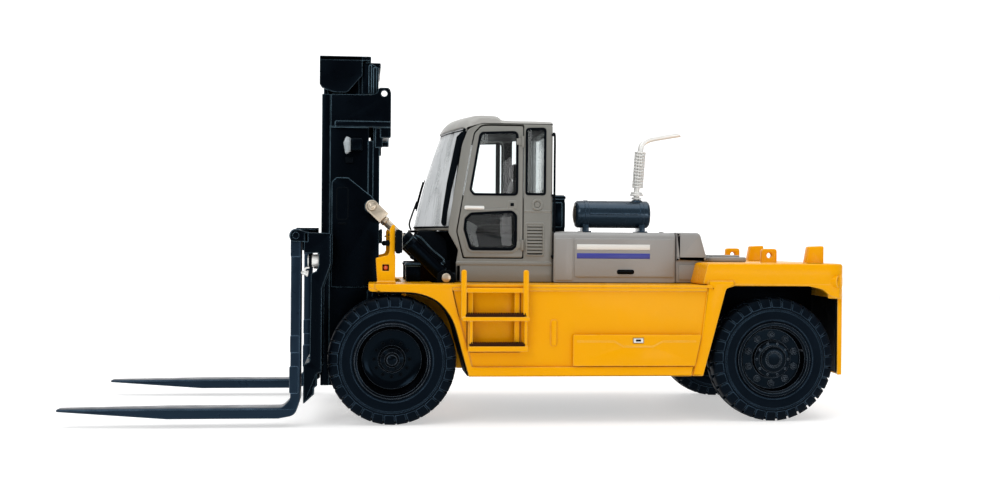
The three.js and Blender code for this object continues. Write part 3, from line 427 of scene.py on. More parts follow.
    def loft(self, rows):
        """A closed skin through loops of points, capped at both ends."""
        solid = bmesh.new()
        loops = [[solid.verts.new(point) for point in row] for row in rows]
        count = len(loops[0])
        for a, b in zip(loops, loops[1:]):
            for j in range(count):
                k = (j + 1) % count
                solid.faces.new((a[j], a[k], b[k], b[j]))
        solid.faces.new(loops[0])
        solid.faces.new(loops[-1])
        self.add_outward(solid)

    def sheet(self, outer, inner):
        """A closed thin sheet between two matching grids of points."""
        solid = bmesh.new()
        a, b = ([[solid.verts.new(point) for point in row] for row in grid]
                for grid in (outer, inner))
        rows, columns = len(a) - 1, len(a[0]) - 1
        for i in range(rows):
            for j in range(columns):
                solid.faces.new((a[i][j], a[i][j + 1], a[i + 1][j + 1], a[i + 1][j]))
                solid.faces.new((b[i][j], b[i + 1][j], b[i + 1][j + 1], b[i][j + 1]))
        for i in range(rows):
            solid.faces.new((a[i][0], a[i + 1][0], b[i + 1][0], b[i][0]))
            solid.faces.new((a[i + 1][-1], a[i][-1], b[i][-1], b[i + 1][-1]))
        for j in range(columns):
            solid.faces.new((a[0][j + 1], a[0][j], b[0][j], b[0][j + 1]))
            solid.faces.new((a[-1][j], a[-1][j + 1], b[-1][j + 1], b[-1][j]))
        self.add_outward(solid)

    def ball(self, centre, radius):
        solid = bmesh.new()
        bmesh.ops.create_uvsphere(solid, u_segments=16, v_segments=8, radius=radius)
        bmesh.ops.translate(solid, vec=Vector(centre), verts=solid.verts)
        self.add(solid)

    def mirror(self):
        """Adds the mirror image in Y of everything so far."""
        twin = self.mesh.copy()
        bmesh.ops.transform(twin, matrix=FLIP, verts=twin.verts)
        bmesh.ops.reverse_faces(twin, faces=twin.faces)
        self.add(twin)


def build(shape, name, mat, *nodes, body="chassis", flip=False, angle=38):
    """Makes the object that shape(part) draws; it rides a body and replaces the CAD nodes."""
    part = Piece()
    shape(part)
    mesh = part.mesh
    to_frame = Matrix.Scale(MM, 4) @ Matrix.Translation((FRAME_X, 0, 0))
    if flip:
        to_frame = to_frame @ FLIP
    bmesh.ops.transform(mesh, matrix=to_frame, verts=mesh.verts)
    if flip:
        bmesh.ops.reverse_faces(mesh, faces=mesh.faces)
    data = bpy.data.meshes.new(name)
    mesh.to_mesh(data)
    mesh.free()
    data.shade_smooth()
    data.set_sharp_from_angle(angle=math.radians(angle))
    obj = bpy.data.objects.new(name, data)
    data.materials.append(mat)
    bpy.context.scene.collection.objects.link(obj)
    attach(obj, body)
    if nodes:
        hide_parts(*nodes)
    return obj


def piece(mat, *nodes, **options):
    """Decorator: builds the object named after the function at once."""
    return lambda shape: build(shape, shape.__name__, mat, *nodes, **options)


def sided(mat, *nodes, body="chassis", **options):
    """Decorator: a builder for one side of a pair drawn on the left; {} stands for the side."""
    def wrap(shape):
        def make(side):
            build(shape, f"{shape.__name__}_{side}", mat, *(node.format(side) for node in nodes),
                  body=body.format(side), flip=side == "right", **options)
        return make
    return wrap


def both(*makers):
    for side in ("left", "right"):
        for make in makers:
            make(side)


# ------------------------------------------------------------------ chassis
# front wheel arch, (x, z) from front to rear
ARCH = smooth([(-5.8, 35.4), (0, 35.35), (6.3, 35.1), (11.2, 33.4), (14.2, 30.7), (16.5, 26.8),
               (18.5, 19.8), (20.5, 12.8)])


@piece(YELLOW, "chassis")
def chassis_body(part):
    rim = fillet([(-5.9, 37.5, 0.9), (86.6, 37.5, 0.9), (87.3, 36.2, 0.15), (86.2, 36.7, 0.3),
                  (15.7, 36.6, 0.6), (16.8, 31.9, 6), (21.3, 15.4, 0.5), (81.75, 15.4, 0.1),
                  (81.1, 12.8, 0.1), (20.5, 12.8, 0.1)], 0.3, 3)
    rim = rim[:-1] + ARCH[-2:0:-1] + [(-5.9, 35.5), (-6.35, 35.9), (-6.4, 36.6)]
    part.plate(rim, -36.4, -34.9, bevel=0.28)
    part.plate([(15.9, 37), (86.3, 37), (82.5, 13.4), (21.2, 13.4)], -35.5, -33.9,
               holes=[round_rect(19.7, 34.3, 19.2, 36.3, 0.4, 3)], bevel=0.1)
    part.boxes((19.2, 34.8, -34.45, -33.7, 18.8, 36.8, 0.1),
               (42.5, 44.1, -36.3, -35.2, 21, 28, 0.5, 3))
    part.plate(ARCH[8:] + [(22.2, 12.8), (20.1, 20.5), (18.1, 28), (15.8, 32), (13.2, 34.8),
                           (6.3, 36.2)], -35.9, -18.2, bevel=0.15)
    # axle plate
    part.plate(fillet([(-2.9, 13.4, 0.6), (-2.9, 20.8, 1), (2.6, 27, 2), (4.5, 35.9), (20, 35.9),
                       (20, 13.4, 0.6)], 0), -17.5, -15.4, holes=[circle(0, HUB_Z, 2.8, 24)],
               bevel=0.25) if False else part.plate(
        [(-2.9, 13.4, 0.6), (-2.9, 20.8, 1), (2.6, 27, 2), (4.5, 35.9), (20, 35.9),
         (20, 13.4, 0.6)], -17.5, -15.4, holes=[circle(0, HUB_Z, 2.8, 24)], bevel=0.25)
    part.mirror()
    part.plate(fillet([(-6.35, -36.2, 0.5), (-6.35, -18.4, 0.5), (3, -18.4, 0.6), (3, 18.4, 0.6),
                       (-6.35, 18.4, 0.5), (-6.35, 36.2, 0.5), (85.2, 36.2), (85.2, -36.2)],
                      0.1, 3), 35.8, DECK_Z,
               holes=[round_rect(11.2, 17.75, -24.9, 24.9, 0.5, 3)], bevel=0.25, plane="XY")
    part.boxes((18.4, 20.4, -18, 18, 13.4, 36.4, 0.15), (79.6, 81.2, -34.2, 34.2, 13.4, 36.4, 0.15))


@piece(PLASTIC, "base_plate")
def base_plate_pressed(part):
    part.plate(round_rect(22.3, 79.6, -33.1, 33.1, 1.5), 13.0, 14.2, plane="XY")
    for i in range(5):
        x = 30 + i * 10.5
        part.box(x, x + 1.2, -27, 27, 12.8, 13.2, 0.15)
    for x, y in ((26, 0), (76, 0), (50, -29), (50, 29)):
        part.revolve([(0, 0), (1.2, 0), (1.5, 0.15), (1.5, 0.5), (0, 0.5)], (x, y, 12.75), UP, 20)


# Brown box standing in for the shaded parts seen under the cab front: painted shade.
@piece(TREAD)
def deck_block_painted_shade(part):
    part.box(8.3, 12.6, -7.6, 7.6, 36.4, 42.4, 0.35, 3)
    for y in (-5, -1.7, 1.7, 5):
        part.rod((9.6, y, 42.2), (9.6, y, 43.0), 0.55, 14)


@piece(PLASTIC)
def deck_oil_tank(part):
    part.box(12.9, 18.1, -14.4, 14.4, 36.4, 43.6, 0.5, 3)
    part.revolve([(0, 0), (1.3, 0), (1.3, 0.5), (1.1, 0.7), (1.1, 1.1), (0.9, 1.3), (0, 1.35)],
                 (15.4, -6, 43.5), UP, 24)
    for y in (-10, 0, 10):
        part.box(12.75, 18.25, y - 0.4, y + 0.4, 36.6, 43.75, 0.15)
    part.tube(smooth([(13.2, 5, 43.4), (13.0, 5, 44.3), (11.4, 5, 44.2), (10.2, 5, 43.2),
                      (10.0, 5, 42.6)]), 0.35, 10)


def toward_hub(offset):
    moved = []
    for x, z in ARCH:
        distance = math.hypot(x, z - HUB_Z)
        moved.append((x - x / distance * offset, z - (z - HUB_Z) / distance * offset))
    return moved


# Black lining inside the front wheel arches: painted shade where the arch's inside falls dark.
@piece(PLASTIC)
def front_arch_shade_lining(part):
    part.plate(toward_hub(0.1) + toward_hub(0.45)[::-1], -34.9, -18.0, bevel=0.05)
    part.mirror()


# ------------------------------------------------------------------ counterweight
# left half of the tail seen from above, (x, y) from the side to the middle
TAIL = [(119.6, -35.4), (121.9, -35.1), (123.7, -34.0), (124.8, -32), (125.2, -28), (125.6, -19),
        (125.9, -9.5), (126, 0)]
WEIGHT_TOP = 43.5


def tail_edge(inset=0.0):
    half = [(x - inset, y + (inset if abs(y) > 33 else 0)) for x, y in TAIL]
    return half + [(x, -y) for x, y in reversed(half[:-1])]


TAIL_WALL = [(124.3, -33.0)] + [p for p in tail_edge(0.1) if abs(p[1]) < 33] + [(124.3, 33.0)]


@piece(YELLOW, "counterweight")
def counterweight_body(part):
    def slope(vert):
        """Rakes the front end forward towards the bottom."""
        if vert.co.x < 95:
            vert.co.x -= (WEIGHT_TOP - vert.co.z) * 0.25 * clamp((95 - vert.co.x) / 8)

    part.plate(fillet([(85.6, 38.6), (83.9, 24), (82.0, 15.1), (81.5, 12.8), (84.4, 12.8, 0.3),
                       (90.7, 36.6, 1.2), (93, 37.3), (93, 38.6)], 0.2), -36.0, -32.6, bevel=0.35)
    part.plate(fillet([(90, 39), (90, 37.3), (114.4, 37.3, 4), (118.2, 36.4, 3), (120.4, 34.6, 3),
                       (123.0, 33.9, 0.3), (123.0, 39)], 0.2, 5), -35.2, -33.0, bevel=0.3)
    part.plate(fillet([(115.3, 43.2), (116.2, 48.2, 0.5), (120.5, 48.4, 0.5), (120.5, 43.2)],
                      0.1, 3), -29.1, -25.9, bevel=0.4)
    # eye plate
    part.plate(fillet([(105.7, 43.2), (105.7, 47.5, 0.9), (110.1, 47.5, 0.9), (110.1, 43.2)], 0.1),
               -19.5, -17.5, holes=[circle(107.9, 45.6, 0.78, 18)], bevel=0.28)
    part.mirror()
    part.plate([(85.7, -35.4)] + tail_edge() + [(85.7, 35.4)], 37.6, WEIGHT_TOP, bevel=0.7,
               shape=slope, plane="XY")
    strip = tail_edge(0.05)[1:-1]
    part.plate(strip + [(x - 1.9, y * 0.965) for x, y in reversed(strip)], 33.9, 38.4,
               bevel=0.25, plane="XY")
    part.plate(TAIL_WALL + [(x - 1.25, y) for x, y in reversed(TAIL_WALL)], 12.7, 34.6,
               bevel=0.22, plane="XY")


# Black lining inside the rear wheel arches, under the counterweight and behind the tail wall:
# painted shade where these insides fall dark.
@piece(PLASTIC)
def counterweight_shade_lining(part):
    part.plate([(85.9, 38.3), (84.2, 24), (82.3, 15.1), (81.8, 13.1), (84.5, 13.1), (90.8, 36.8),
                (93, 37.2), (93, 38.3)], -32.8, 32.8, bevel=0.1)
    part.boxes((90, 122.4, -32.9, 32.9, 37.2, 37.8, 0.1),
               (92, 122.6, -13.5, 13.5, 21.6, 37.6, 0.4))
    lining = [(x - 1.3, y * 0.985) for x, y in TAIL_WALL]
    part.plate(lining + [(x - 0.25, y) for x, y in reversed(lining)], 13.2, 37.4, bevel=0.05,
               plane="XY")


LAMP_X, LAMP_Y, LAMP_Z = 121.7, 34.35, 38.6


@piece(YELLOW)
def tail_lamp_rims(part):
    for side in SIDES:
        part.ring((LAMP_X, side * LAMP_Y, LAMP_Z), (0.75, side * 0.66, 0), 1.25, 1.7, 2.4, 28)


@piece(LAMP)
def tail_lamps(part):
    for side in SIDES:
        part.revolve([(0, 0), (1.3, 0), (1.3, 0.6), (0.9, 0.8), (0, 0.85)],
                     (LAMP_X, side * LAMP_Y, LAMP_Z), (0.75, side * 0.66, 0), 24)


@piece(YELLOW)
def tail_lamp_rings(part):
    for side in SIDES:
        part.revolve([(1.2, -0.5), (1.2, 0.45), (1.35, 0.62), (1.9, 0.62), (2.1, 0.4),
                      (2.15, -0.5)], (123.5, side * 33.35, LAMP_Z), (0.9, side * 0.43, 0), 32,
                     closed=True)


# ------------------------------------------------------------------ hood
@piece(GREY, "hood")
def hood_body(part):
    part.plate(round_rect(51, 79.3, 39.2, 50.0, 0.5, 3), -22.32, -21.8, bevel=0.14)
    part.plate(round_rect(45.5, 50.5, 38.2, 50.0, 0.4, 3), -22.22, -21.8, bevel=0.12)
    part.mirror()
    part.plate(fillet([(-22, 37.7, 0.1), (-22, 51.8), (22, 51.8), (22, 37.7, 0.1)], 1.9, 6),
               45.2, 79.7, bevel=0.22, plane="YZ")
    part.plate(round_rect(47.2, 52.6, -18.5, 18.5, 1, 3), 51.6, 52.0, bevel=0.12, plane="XY")
    for y in (-14, 14):
        for x in (54, 77.5):
            part.stud((x, y, 51.75), UP, 0.7, 0.45, 0.25, 0.4, 14)


@piece(GREY, "hood_rear")
def hood_tail(part):
    part.plate(fillet([(80.0, 43.8, 0.2), (80.0, 51.9, 0.3), (87.0, 51.9, 1.6), (89.3, 43.8, 0.3)],
                      0.2, 6), -22.1, 22.1, bevel=1.1)
    part.boxes((80.0, 87.4, -21.2, 21.2, 37.7, 44.2, 0.3),
               (80.9, 86.9, -21.55, 21.55, 38.5, 42.9, 0.2))


@piece(PLASTIC)
def hood_handles(part):
    part.plate(round_rect(63.0, 67.9, 40.05, 41.35, 0.6), -22.46, -22.25, bevel=0.08)
    part.tube(smooth([(63.5, -22.4, 40.7), (63.9, -22.9, 40.75), (65.5, -23.0, 40.8),
                      (67.0, -22.9, 40.75), (67.4, -22.4, 40.7)], 3), 0.26, 8)
    part.mirror()


def stripe(part, z):
    part.plate([(51.6, z), (72.4, z), (72.4, z + 1.5), (51.6, z + 1.5)], -22.37, -22.25,
               bevel=0.02)
    part.mirror()


@piece(BLUE)
def hood_stripe_blue(part):
    stripe(part, 44.4)


@piece(WHITE)
def hood_stripe_white(part):
    stripe(part, 46.9)


@piece(GREY, "radiator_cover")
def radiator_lid(part):
    part.plate(round_rect(91.5, 103, -14, 14, 1.4), 43.55, 45.0, bevel=0.4, plane="XY")
    for i in range(9):
        y = -11.2 + i * 2.8
        part.box(93, 101.4, y - 0.7, y + 0.7, 44.8, 45.5, 0.3)
    for y in (-12.9, 12.9):
        part.stud((96, y, 44.9), UP, 0.9, 0.6, 0.5, 0.75, 14)


# ------------------------------------------------------------------ silencer, stack, air cleaner
DRUM_Y, DRUM_Z, DRUM_R = -6.0, 57.2, 4.0


@piece(SILENCER, "muffler")
def silencer_drum(part):
    profile = [(0, 53.7), (2.9, 53.45), (3.5, 53.6), (3.95, 54.2), (DRUM_R, 55.2)]
    for x in (56.0, 72.2):
        band = DRUM_R + 0.14
        profile += [(DRUM_R, x), (band, x + 0.1), (band, x + 1.1), (DRUM_R, x + 1.2)]
    profile += [(DRUM_R, 74.3), (3.95, 74.8), (3.5, 75.3), (2.9, 75.45), (0, 75.2)]
    part.revolve(profile, (0, DRUM_Y, DRUM_Z), AFT, 48)
    for x in (55.6, 72.2):
        saddle = [(DRUM_Y - 3.0, 51.9), (DRUM_Y - 2.6, 55.6), (DRUM_Y + 2.6, 55.6),
                  (DRUM_Y + 3.0, 51.9)]
        part.plate(fillet(saddle, 0.3, 3), x, x + 1.7, plane="YZ")
        part.box(x - 0.6, x + 2.3, DRUM_Y - 3.4, DRUM_Y + 3.4, 51.85, 52.3, 0.12)
    part.box(57.4, 71.6, DRUM_Y - 4.3, DRUM_Y - 3.9, 57.0, 57.35, 0.12)
    part.rod((71.9, DRUM_Y, 60.4), (71.9, DRUM_Y, 61.5), 1.5)


@piece(STEEL)
def silencer_end_cap(part):
    part.revolve([(0, 0), (1.6, 0.05), (2.5, 0.25), (2.9, 0.6), (2.9, 0.75), (0, 0.75)],
                 (53.05, DRUM_Y, DRUM_Z), AFT, 32)


@piece(BRIGHT, "exhaust_stack")
def stack_pipe(part):
    path = [(71.8, 61.4), (71.95, 65.5), (72.4, 71), (72.9, 75.8), (73.5, 77.8), (75.2, 79.15),
            (78, 79.85), (84.2, 80.95)]
    part.tube(smooth([(x, DRUM_Y, z) for x, z in path], 5), 0.86, 16, end_shear=-0.9)
    for z, radius in ((61.9, 1.5), (62.9, 2.0), (63.5, 1.75)):
        part.revolve([(0.8, 0), (radius, 0), (radius, 0.42), (radius - 0.15, 0.5), (0.8, 0.5)],
                     (71.85, DRUM_Y, z - 0.2), (0.03, 0, 1), 24)


@piece(BRIGHT)
def stack_shield(part):
    """A cage of rings and bars round the pipe."""
    count = 12
    foot = Vector((72.15, DRUM_Y, 65.3))
    axis = Vector((72.86, DRUM_Y, 75.4)) - foot
    for i in range(count):
        outer = 1.58 if 0 < i < count - 1 else 1.7
        part.ring(foot + axis * (i / (count - 1)), axis, 1.3, outer, 0.42)
    along = axis.normalized()
    across = along.orthogonal().normalized()
    third = along.cross(across)
    for i in range(count):
        turn = 2 * math.pi * i / count
        start = foot + (across * math.cos(turn) + third * math.sin(turn)) * 1.44
        part.tube([start, start + axis], 0.17, 6)


@piece(BLACK, "air_cleaner")
def air_cleaner_box(part):
    part.boxes((45.6, 50.2, -9, 9, 51.9, 62.6, 0.5, 3), (45.3, 50.4, -9.2, 9.2, 61.4, 62.3, 0.25))
    for i in range(7):
        y = -7.5 + i * 2.5
        part.box(50.0, 50.45, y - 0.4, y + 0.4, 53.2, 60.6, 0.15)
    for y in (-9, 9):
        part.box(46.6, 49.3, y - 0.2, y + 0.2, 53.4, 60.4, 0.15)


# ------------------------------------------------------------------ cab
# side openings and outlines: (x, z, corner radius)
UPPER = fillet([(21.7, 63.3, 1.0), (22.7, 62.0, 1.0), (35.0, 62.0, 1.2), (35.0, 79.8, 1.4),
                (24.9, 79.4, 1.6), (24.3, 78.6, 1.0)], 1)
LOWER = fillet([(20.1, 52.3, 1.5), (20.4, 55.3, 1.0), (21.9, 56.8, 1.2), (33.6, 57.5, 1.5),
                (34.7, 56.2, 1.2), (34.7, 47.6, 1.2), (33.4, 46.7, 1.0), (21.8, 46.7, 1.2)], 1)
QUARTER = fillet([(37.4, 62.2, 0.8), (42.9, 62.2, 0.8), (42.9, 80.9, 0.9), (37.4, 80.7, 0.9)], 1)
DOOR = fillet([(20.1, 44.5, 0.6), (18.2, 51.7, 2.5), (22.3, 76, 8), (23, 79.2, 1.6),
               (24.8, 81.1, 1.4), (26.8, 81.3, 1.5), (36.5, 81.3, 0.5), (36.5, 44.5, 0.5)], 0.4)
DOORWAY = fillet([(19.8, 44.2, 0.5), (17.9, 51.7, 2.5), (22.0, 76.1, 8), (22.7, 79.4, 1.6),
                  (24.6, 81.4, 1.4), (26.6, 81.6, 1.5), (36.8, 81.6, 0.4), (36.8, 44.2, 0.4)], 0.4)
CAB_SIDE = fillet([(17.9, 43.0, 0.1), (18.5, 46.5, 1.5), (15.7, 51.5, 1.5), (16.0, 54.8, 2),
                   (19.4, 76, 6), (21.1, 80.4, 2), (24.6, 81.9, 2), (44.9, 81.9, 0.8),
                   (44.9, 43.0, 0.1)], 0.3)
LOUVRES = round_rect(37.85, 42.15, 45.4, 53.9, 0.3, 3)


@piece(CAB, "cab_shell")
def cab_frame(part):
    part.plate(CAB_SIDE, 19.0, 20.0, holes=[UPPER, LOWER, QUARTER])
    part.plate(CAB_SIDE, -20.0, -19.0, holes=[DOORWAY, QUARTER])
    for side in SIDES:
        # raised line, louvre frame, louvres and the two rings above them
        part.box(36.95, 44.7, side * 19.95 - 0.2, side * 19.95 + 0.2, 57.3, 57.75, 0.1)
        part.plate(round_rect(37.4, 42.6, 45.0, 54.3, 0.5, 3), side * 19.9, side * 20.25,
                   holes=[LOUVRES], bevel=0.1)
        for i in range(9):
            z = 45.75 + i * 0.93
            part.plate([(side * 20.0, z), (side * 20.3, z + 0.08), (side * 20.05, z + 0.78),
                        (side * 20.0, z + 0.78)], 37.9, 42.1, bevel=0.03, plane="YZ")
        part.ring((40.6, side * 20.15, 59.4), ACROSS, 0.95, 1.6, 0.4, 28)
        part.ring((40.6, side * 20.1, 59.4), ACROSS, 0.1, 0.75, 0.4)
    part.plate(fillet([(-19.5, 42.7), (-19.5, 81.7), (19.5, 81.7), (19.5, 42.7)], 0.6, 3),
               43.8, 44.8, holes=[round_rect(-16.5, 16.5, 64, 80, 1.6)], plane="YZ")
    for side in SIDES:
        part.boxes((17.95, 44.9, side * 18.6, side * 20.2, 37.7, 42.4),
                   (17.9, 44.9, side * 18.5, side * 20.35, 42.3, 43.3, 0.22),
                   (17.95, 19.2, side * 17.6, side * 20.2, 37.7, 43.2))
    part.boxes((43.7, 44.9, -19.5, 19.5, 37.7, 43.3), (20.9, 23.2, -19.6, 19.6, 80.3, 81.6, 0.3))
    # cross beam under the windscreen, curved in plan
    beam = [(6.9 + 9.4 * (i / 9) ** 2, i / 9 * 18.9) for i in range(-9, 10)]
    part.plate(beam + [(x + 1.5, y) for x, y in reversed(beam)], 52.0, 52.85, plane="XY")


# roof section on the centre line, (x, z) from front to rear, then the underside back again
ROOF_TOP = smooth([(12.9, 80.2), (13.5, 81.1), (14.6, 82.4), (16.4, 83.6), (18.6, 84.2),
                   (21, 84.35), (25, 84.4), (28.4, 84.3), (29.6, 84.0), (30.4, 83.3),
                   (31.5, 83.1), (35, 83.0), (40, 83.0), (44.2, 82.9), (44.9, 82.7)], 3)
ROOF_UNDER = [(44.9, 82.1), (34, 82.1), (22.6, 82.1), (18.5, 81.5), (15.4, 80.7), (13.3, 79.95)]


@piece(ROOF_LIT, "cab_roof", angle=50)
def cab_roof_cap(part):
    """A crowned cap whose visor bows forward in the middle."""
    half_width, sections = 19.8, 32
    rows = []
    for i in range(sections + 1):
        y = -half_width + 2 * half_width * i / sections
        bow = (abs(y) / half_width) ** 2
        drop = max(0.0, (abs(y) - 17.6) / 2.2) ** 2.2
        row = []
        for j, (x, z) in enumerate(ROOF_TOP + ROOF_UNDER):
            x += 1.3 * max(0.0, (20.9 - x) / 8)
            z += 1.35 * bow * clamp((18 - x) / 5) - (drop if j < len(ROOF_TOP) else 0)
            row.append((x + 6.4 * bow * clamp((26 - x) / 9), y, z))
        rows.append(row)
    part.loft(rows)
    part.box(43.2, 44.85, -18.8, 18.8, 82.0, 82.7)
    for y in (-11, 11):
        part.box(26, 42, y - 0.5, y + 0.5, 82.8, 83.45)


def screen_point(across, rise, inset):
    """A point of the bowed windscreen: across runs -1 to 1, rise 0 to 1."""
    bow = (9.6 - 4.2 * rise) * across**2
    belly = 0.55 * math.sin(math.pi * rise) * (1 - across**2)
    return Vector((6.7 + 7.9 * rise + bow - belly + inset, across * 18.7,
                   52.9 + 26.9 * rise + 0.7 * across**2 * rise))


SCREEN_STATIONS = [-1 + 2 * i / 28 for i in range(29)]


@piece(SCREEN, "cab_glass", angle=60)
def cab_windscreen(part):
    part.sheet(*([[screen_point(across, j / 10, inset) for j in range(11)]
                  for across in SCREEN_STATIONS] for inset in (0, 0.45)))


@piece(PLASTIC)
def windscreen_edge(part):
    part.plate(fillet([(19.2, 79.6), (17.9, 78.2), (15.3, 65.5), (14.3, 59.0), (13.7, 54.2),
                       (14.2, 53.2), (15.2, 53.2), (15.5, 57.1), (16.6, 63.3), (19.9, 77.3),
                       (21.4, 79.8)], 0.5), -18.95, -18.45, bevel=0.12)
    part.mirror()


@piece(PLASTIC)
def louvre_backing(part):
    part.plate(LOUVRES, -20.06, -19.9, bevel=0.02)
    part.mirror()


@piece(PLASTIC)
def cab_cowl(part):
    part.plate(fillet([(7.6, 51.9), (12.5, 51.9), (18.8, 46.0), (18.8, 43.4), (6.2, 43.4),
                       (6.5, 47.5)], 0.8), -13.5, 13.5, bevel=0.5)
    for y in (-9, -3, 3, 9):
        part.plate(fillet([(7.3, 51.5), (7.6, 51.5), (6.5, 47.5), (6.3, 43.8), (6.0, 43.8),
                           (6.2, 47.5)], 0.1, 2), y - 0.35, y + 0.35, bevel=0.08)


# Dark pillars, side blocks and headliner inside the cab: painted shade, black where the cab's
# inside and the roof's underside fall in shadow.
@piece(PLASTIC)
def cab_inside_shade(part):
    for x0, x1, z in ((35.2, 37.6, 44.5), (32.6, 33.9, 60.0)):
        part.plate(fillet([(x0, z), (x0, 79.5), (x1, 79.5), (x1, z)], 0.4), 17.2, 18.2, bevel=0.15)
    part.boxes((22.5, 41.5, -17.4, -9.5, 43.6, 51.2, 0.9, 3),
               (21.5, 41.5, 13.5, 17.6, 43.6, 60.5, 0.9, 3))
    part.plate(fillet([(20.8, 81.5), (43.0, 81.7), (43.0, 80.2), (24.5, 80.0), (21.4, 80.3)],
                      0.3, 3), -17.8, 17.8)


@piece(CLEAR)
def cab_side_panes(part):
    for window in (UPPER, LOWER, QUARTER):
        part.plate(grow(window, 0.6), 18.4, 18.9, bevel=0.08)
    part.plate(grow(QUARTER, 0.6), -18.9, -18.4, bevel=0.08)
    part.plate(round_rect(-17.2, 17.2, 63.3, 80.7, 1.6), 43.2, 43.7, bevel=0.08, plane="YZ")


@piece(PLASTIC)
def cab_seals(part):
    """Seals round the openings and the edges of the windscreen."""
    for window in (UPPER, LOWER, QUARTER):
        part.plate(grow(window, 0.12), 19.55, 20.12, holes=[grow(window, -0.48)], bevel=0.1)
    part.plate(grow(QUARTER, 0.2), -20.14, -19.55, holes=[grow(QUARTER, -0.48)], bevel=0.1)
    part.plate(round_rect(-16.7, 16.7, 63.8, 80.2, 1.6), 44.5, 45.05,
               holes=[round_rect(-16.2, 16.2, 64.3, 79.7, 1.4)], bevel=0.1, plane="YZ")
    for side in SIDES:
        part.tube([screen_point(side * 0.995, i / 10, 0.15) for i in range(11)], 0.42, 8)
    for rise, radius in ((0, 0.3), (0.985, 0.26)):
        part.tube([screen_point(across, rise, 0.2) for across in SCREEN_STATIONS], radius, 8)


def moulding_grid(inset, half_width):
    """The moulding's face: bowed across, and leaning forward towards the top."""
    rows = []
    for i in range(25):
        across = -1 + 2 * i / 24
        rows.append([])
        for j in range(9):
            rise = j / 8
            x = 10.6 + 8.2 * across**2 - 2.6 * rise**2 * (1 - across**2) + 0.4
            rows[-1].append(Vector((x + inset, across * half_width, 37.9 + 13.9 * rise)))
    return rows


@piece(GLOSSY, "cab_base")
def cab_front_moulding(part):
    """Lower front moulding, floor, dashboard and levers."""
    part.sheet(moulding_grid(0, 17.2), moulding_grid(1.0, 16.6))
    part.boxes((19.3, 43.3, -18.2, 18.2, 37.9, 40.4), (14.2, 21.0, -15.8, 15.8, 37.9, 40.0, 0.3))
    part.plate(fillet([(16.6, 51.4), (13.6, 52.3, 1), (14.6, 55.4, 1.2), (18.6, 57.2, 1.2),
                       (20.8, 54.8, 1), (20.8, 45, 0.5), (18.8, 45, 0.5)], 0.4),
               -12.5, 12.5, bevel=0.6)
    part.box(19.0, 20.6, -3, 3, 40, 52, 0.4)
    part.plate(fillet([(27.2, 46.4), (26.6, 53.4, 1), (29, 56.2, 1.5), (35.8, 56.2, 1.5),
                       (36.0, 46.4)], 0.5), 9.6, 14.2, bevel=0.7)
    part.rod((30.6, 11.6, 56), (30.2, 11.6, 60.2), 0.35, 12)
    part.rod((32.6, 12.6, 56), (32.3, 12.6, 59.4), 0.35, 12)
    part.ball((30.2, 11.6, 60.4), 0.75)
    part.ball((32.3, 12.6, 59.6), 0.7)


@piece(STEEL)
def dash_panel(part):
    for y in (-7, -2.4, 2.4, 7):
        part.ring((19.6, y, 56.35), (0.45, 0, 0.9), 0.75, 1.05, 0.4, 20)


def cushion(part, x0, x1, y0, y1, z0, z1, radius, lean=0.0, lean_z=0.0):
    """A rounded block, crowned along its thin side; lean shifts it aft with height."""
    solid = bmesh.new()
    bmesh.ops.create_cube(solid, size=1)
    bmesh.ops.subdivide_edges(solid, edges=solid.edges[:], cuts=5, use_grid_fill=True)
    centre = Vector(((x0 + x1) / 2, (y0 + y1) / 2, (z0 + z1) / 2))
    half = Vector(((x1 - x0) / 2, (y1 - y0) / 2, (z1 - z0) / 2))
    for vert in solid.verts:
        place = Vector([2 * unit * size for unit, size in zip(vert.co, half)])
        core = Vector([max(radius - size, min(size - radius, coord))
                       for coord, size in zip(place, half)])
        outward = place - core
        if outward.length > 1e-6:
            place = core + outward.normalized() * radius
        crown = 1 + 0.1 * (1 - (place.y / half.y) ** 2)
        if half.z < half.y and half.z <= half.x:
            place.z *= crown
        if half.x < half.y and half.x < half.z:
            place.x *= crown
        vert.co = centre + place
        vert.co.x += (vert.co.z - lean_z) * lean
    part.add_outward(solid)


@piece(SEAT, "driver_seat", angle=60)
def driver_seat_cushions(part):
    cushion(part, 24.4, 35.2, -6, 6, 47.0, 50.0, 1.3)
    cushion(part, 32.9, 35.7, -5.6, 5.6, 50.0, 67.0, 1.3, lean=0.13, lean_z=50)
    cushion(part, 35.0, 37.2, -3.2, 3.2, 67.4, 71.8, 1.0, lean=0.05, lean_z=67)
    cushion(part, 25.6, 35.2, -8.3, -6.5, 52.1, 53.8, 0.8)
    cushion(part, 25.6, 35.2, 6.5, 8.3, 52.1, 53.8, 0.8)
    part.boxes((26, 34, -4.6, 4.6, 40.3, 42.2, 0.4), (27.6, 32.4, -3.4, 3.4, 42, 46.4, 0.5),
               (25.6, 34.4, -5.2, 5.2, 46, 47.4, 0.4))
    for y in (-1.6, 1.6):
        part.rod((36.3, y, 66.4), (36.4, y, 68.2), 0.3, 10)
    for side in SIDES:
        part.box(33.6, 34.9, side * 5.2, side * 7.2, 51.6, 53.2, 0.3)


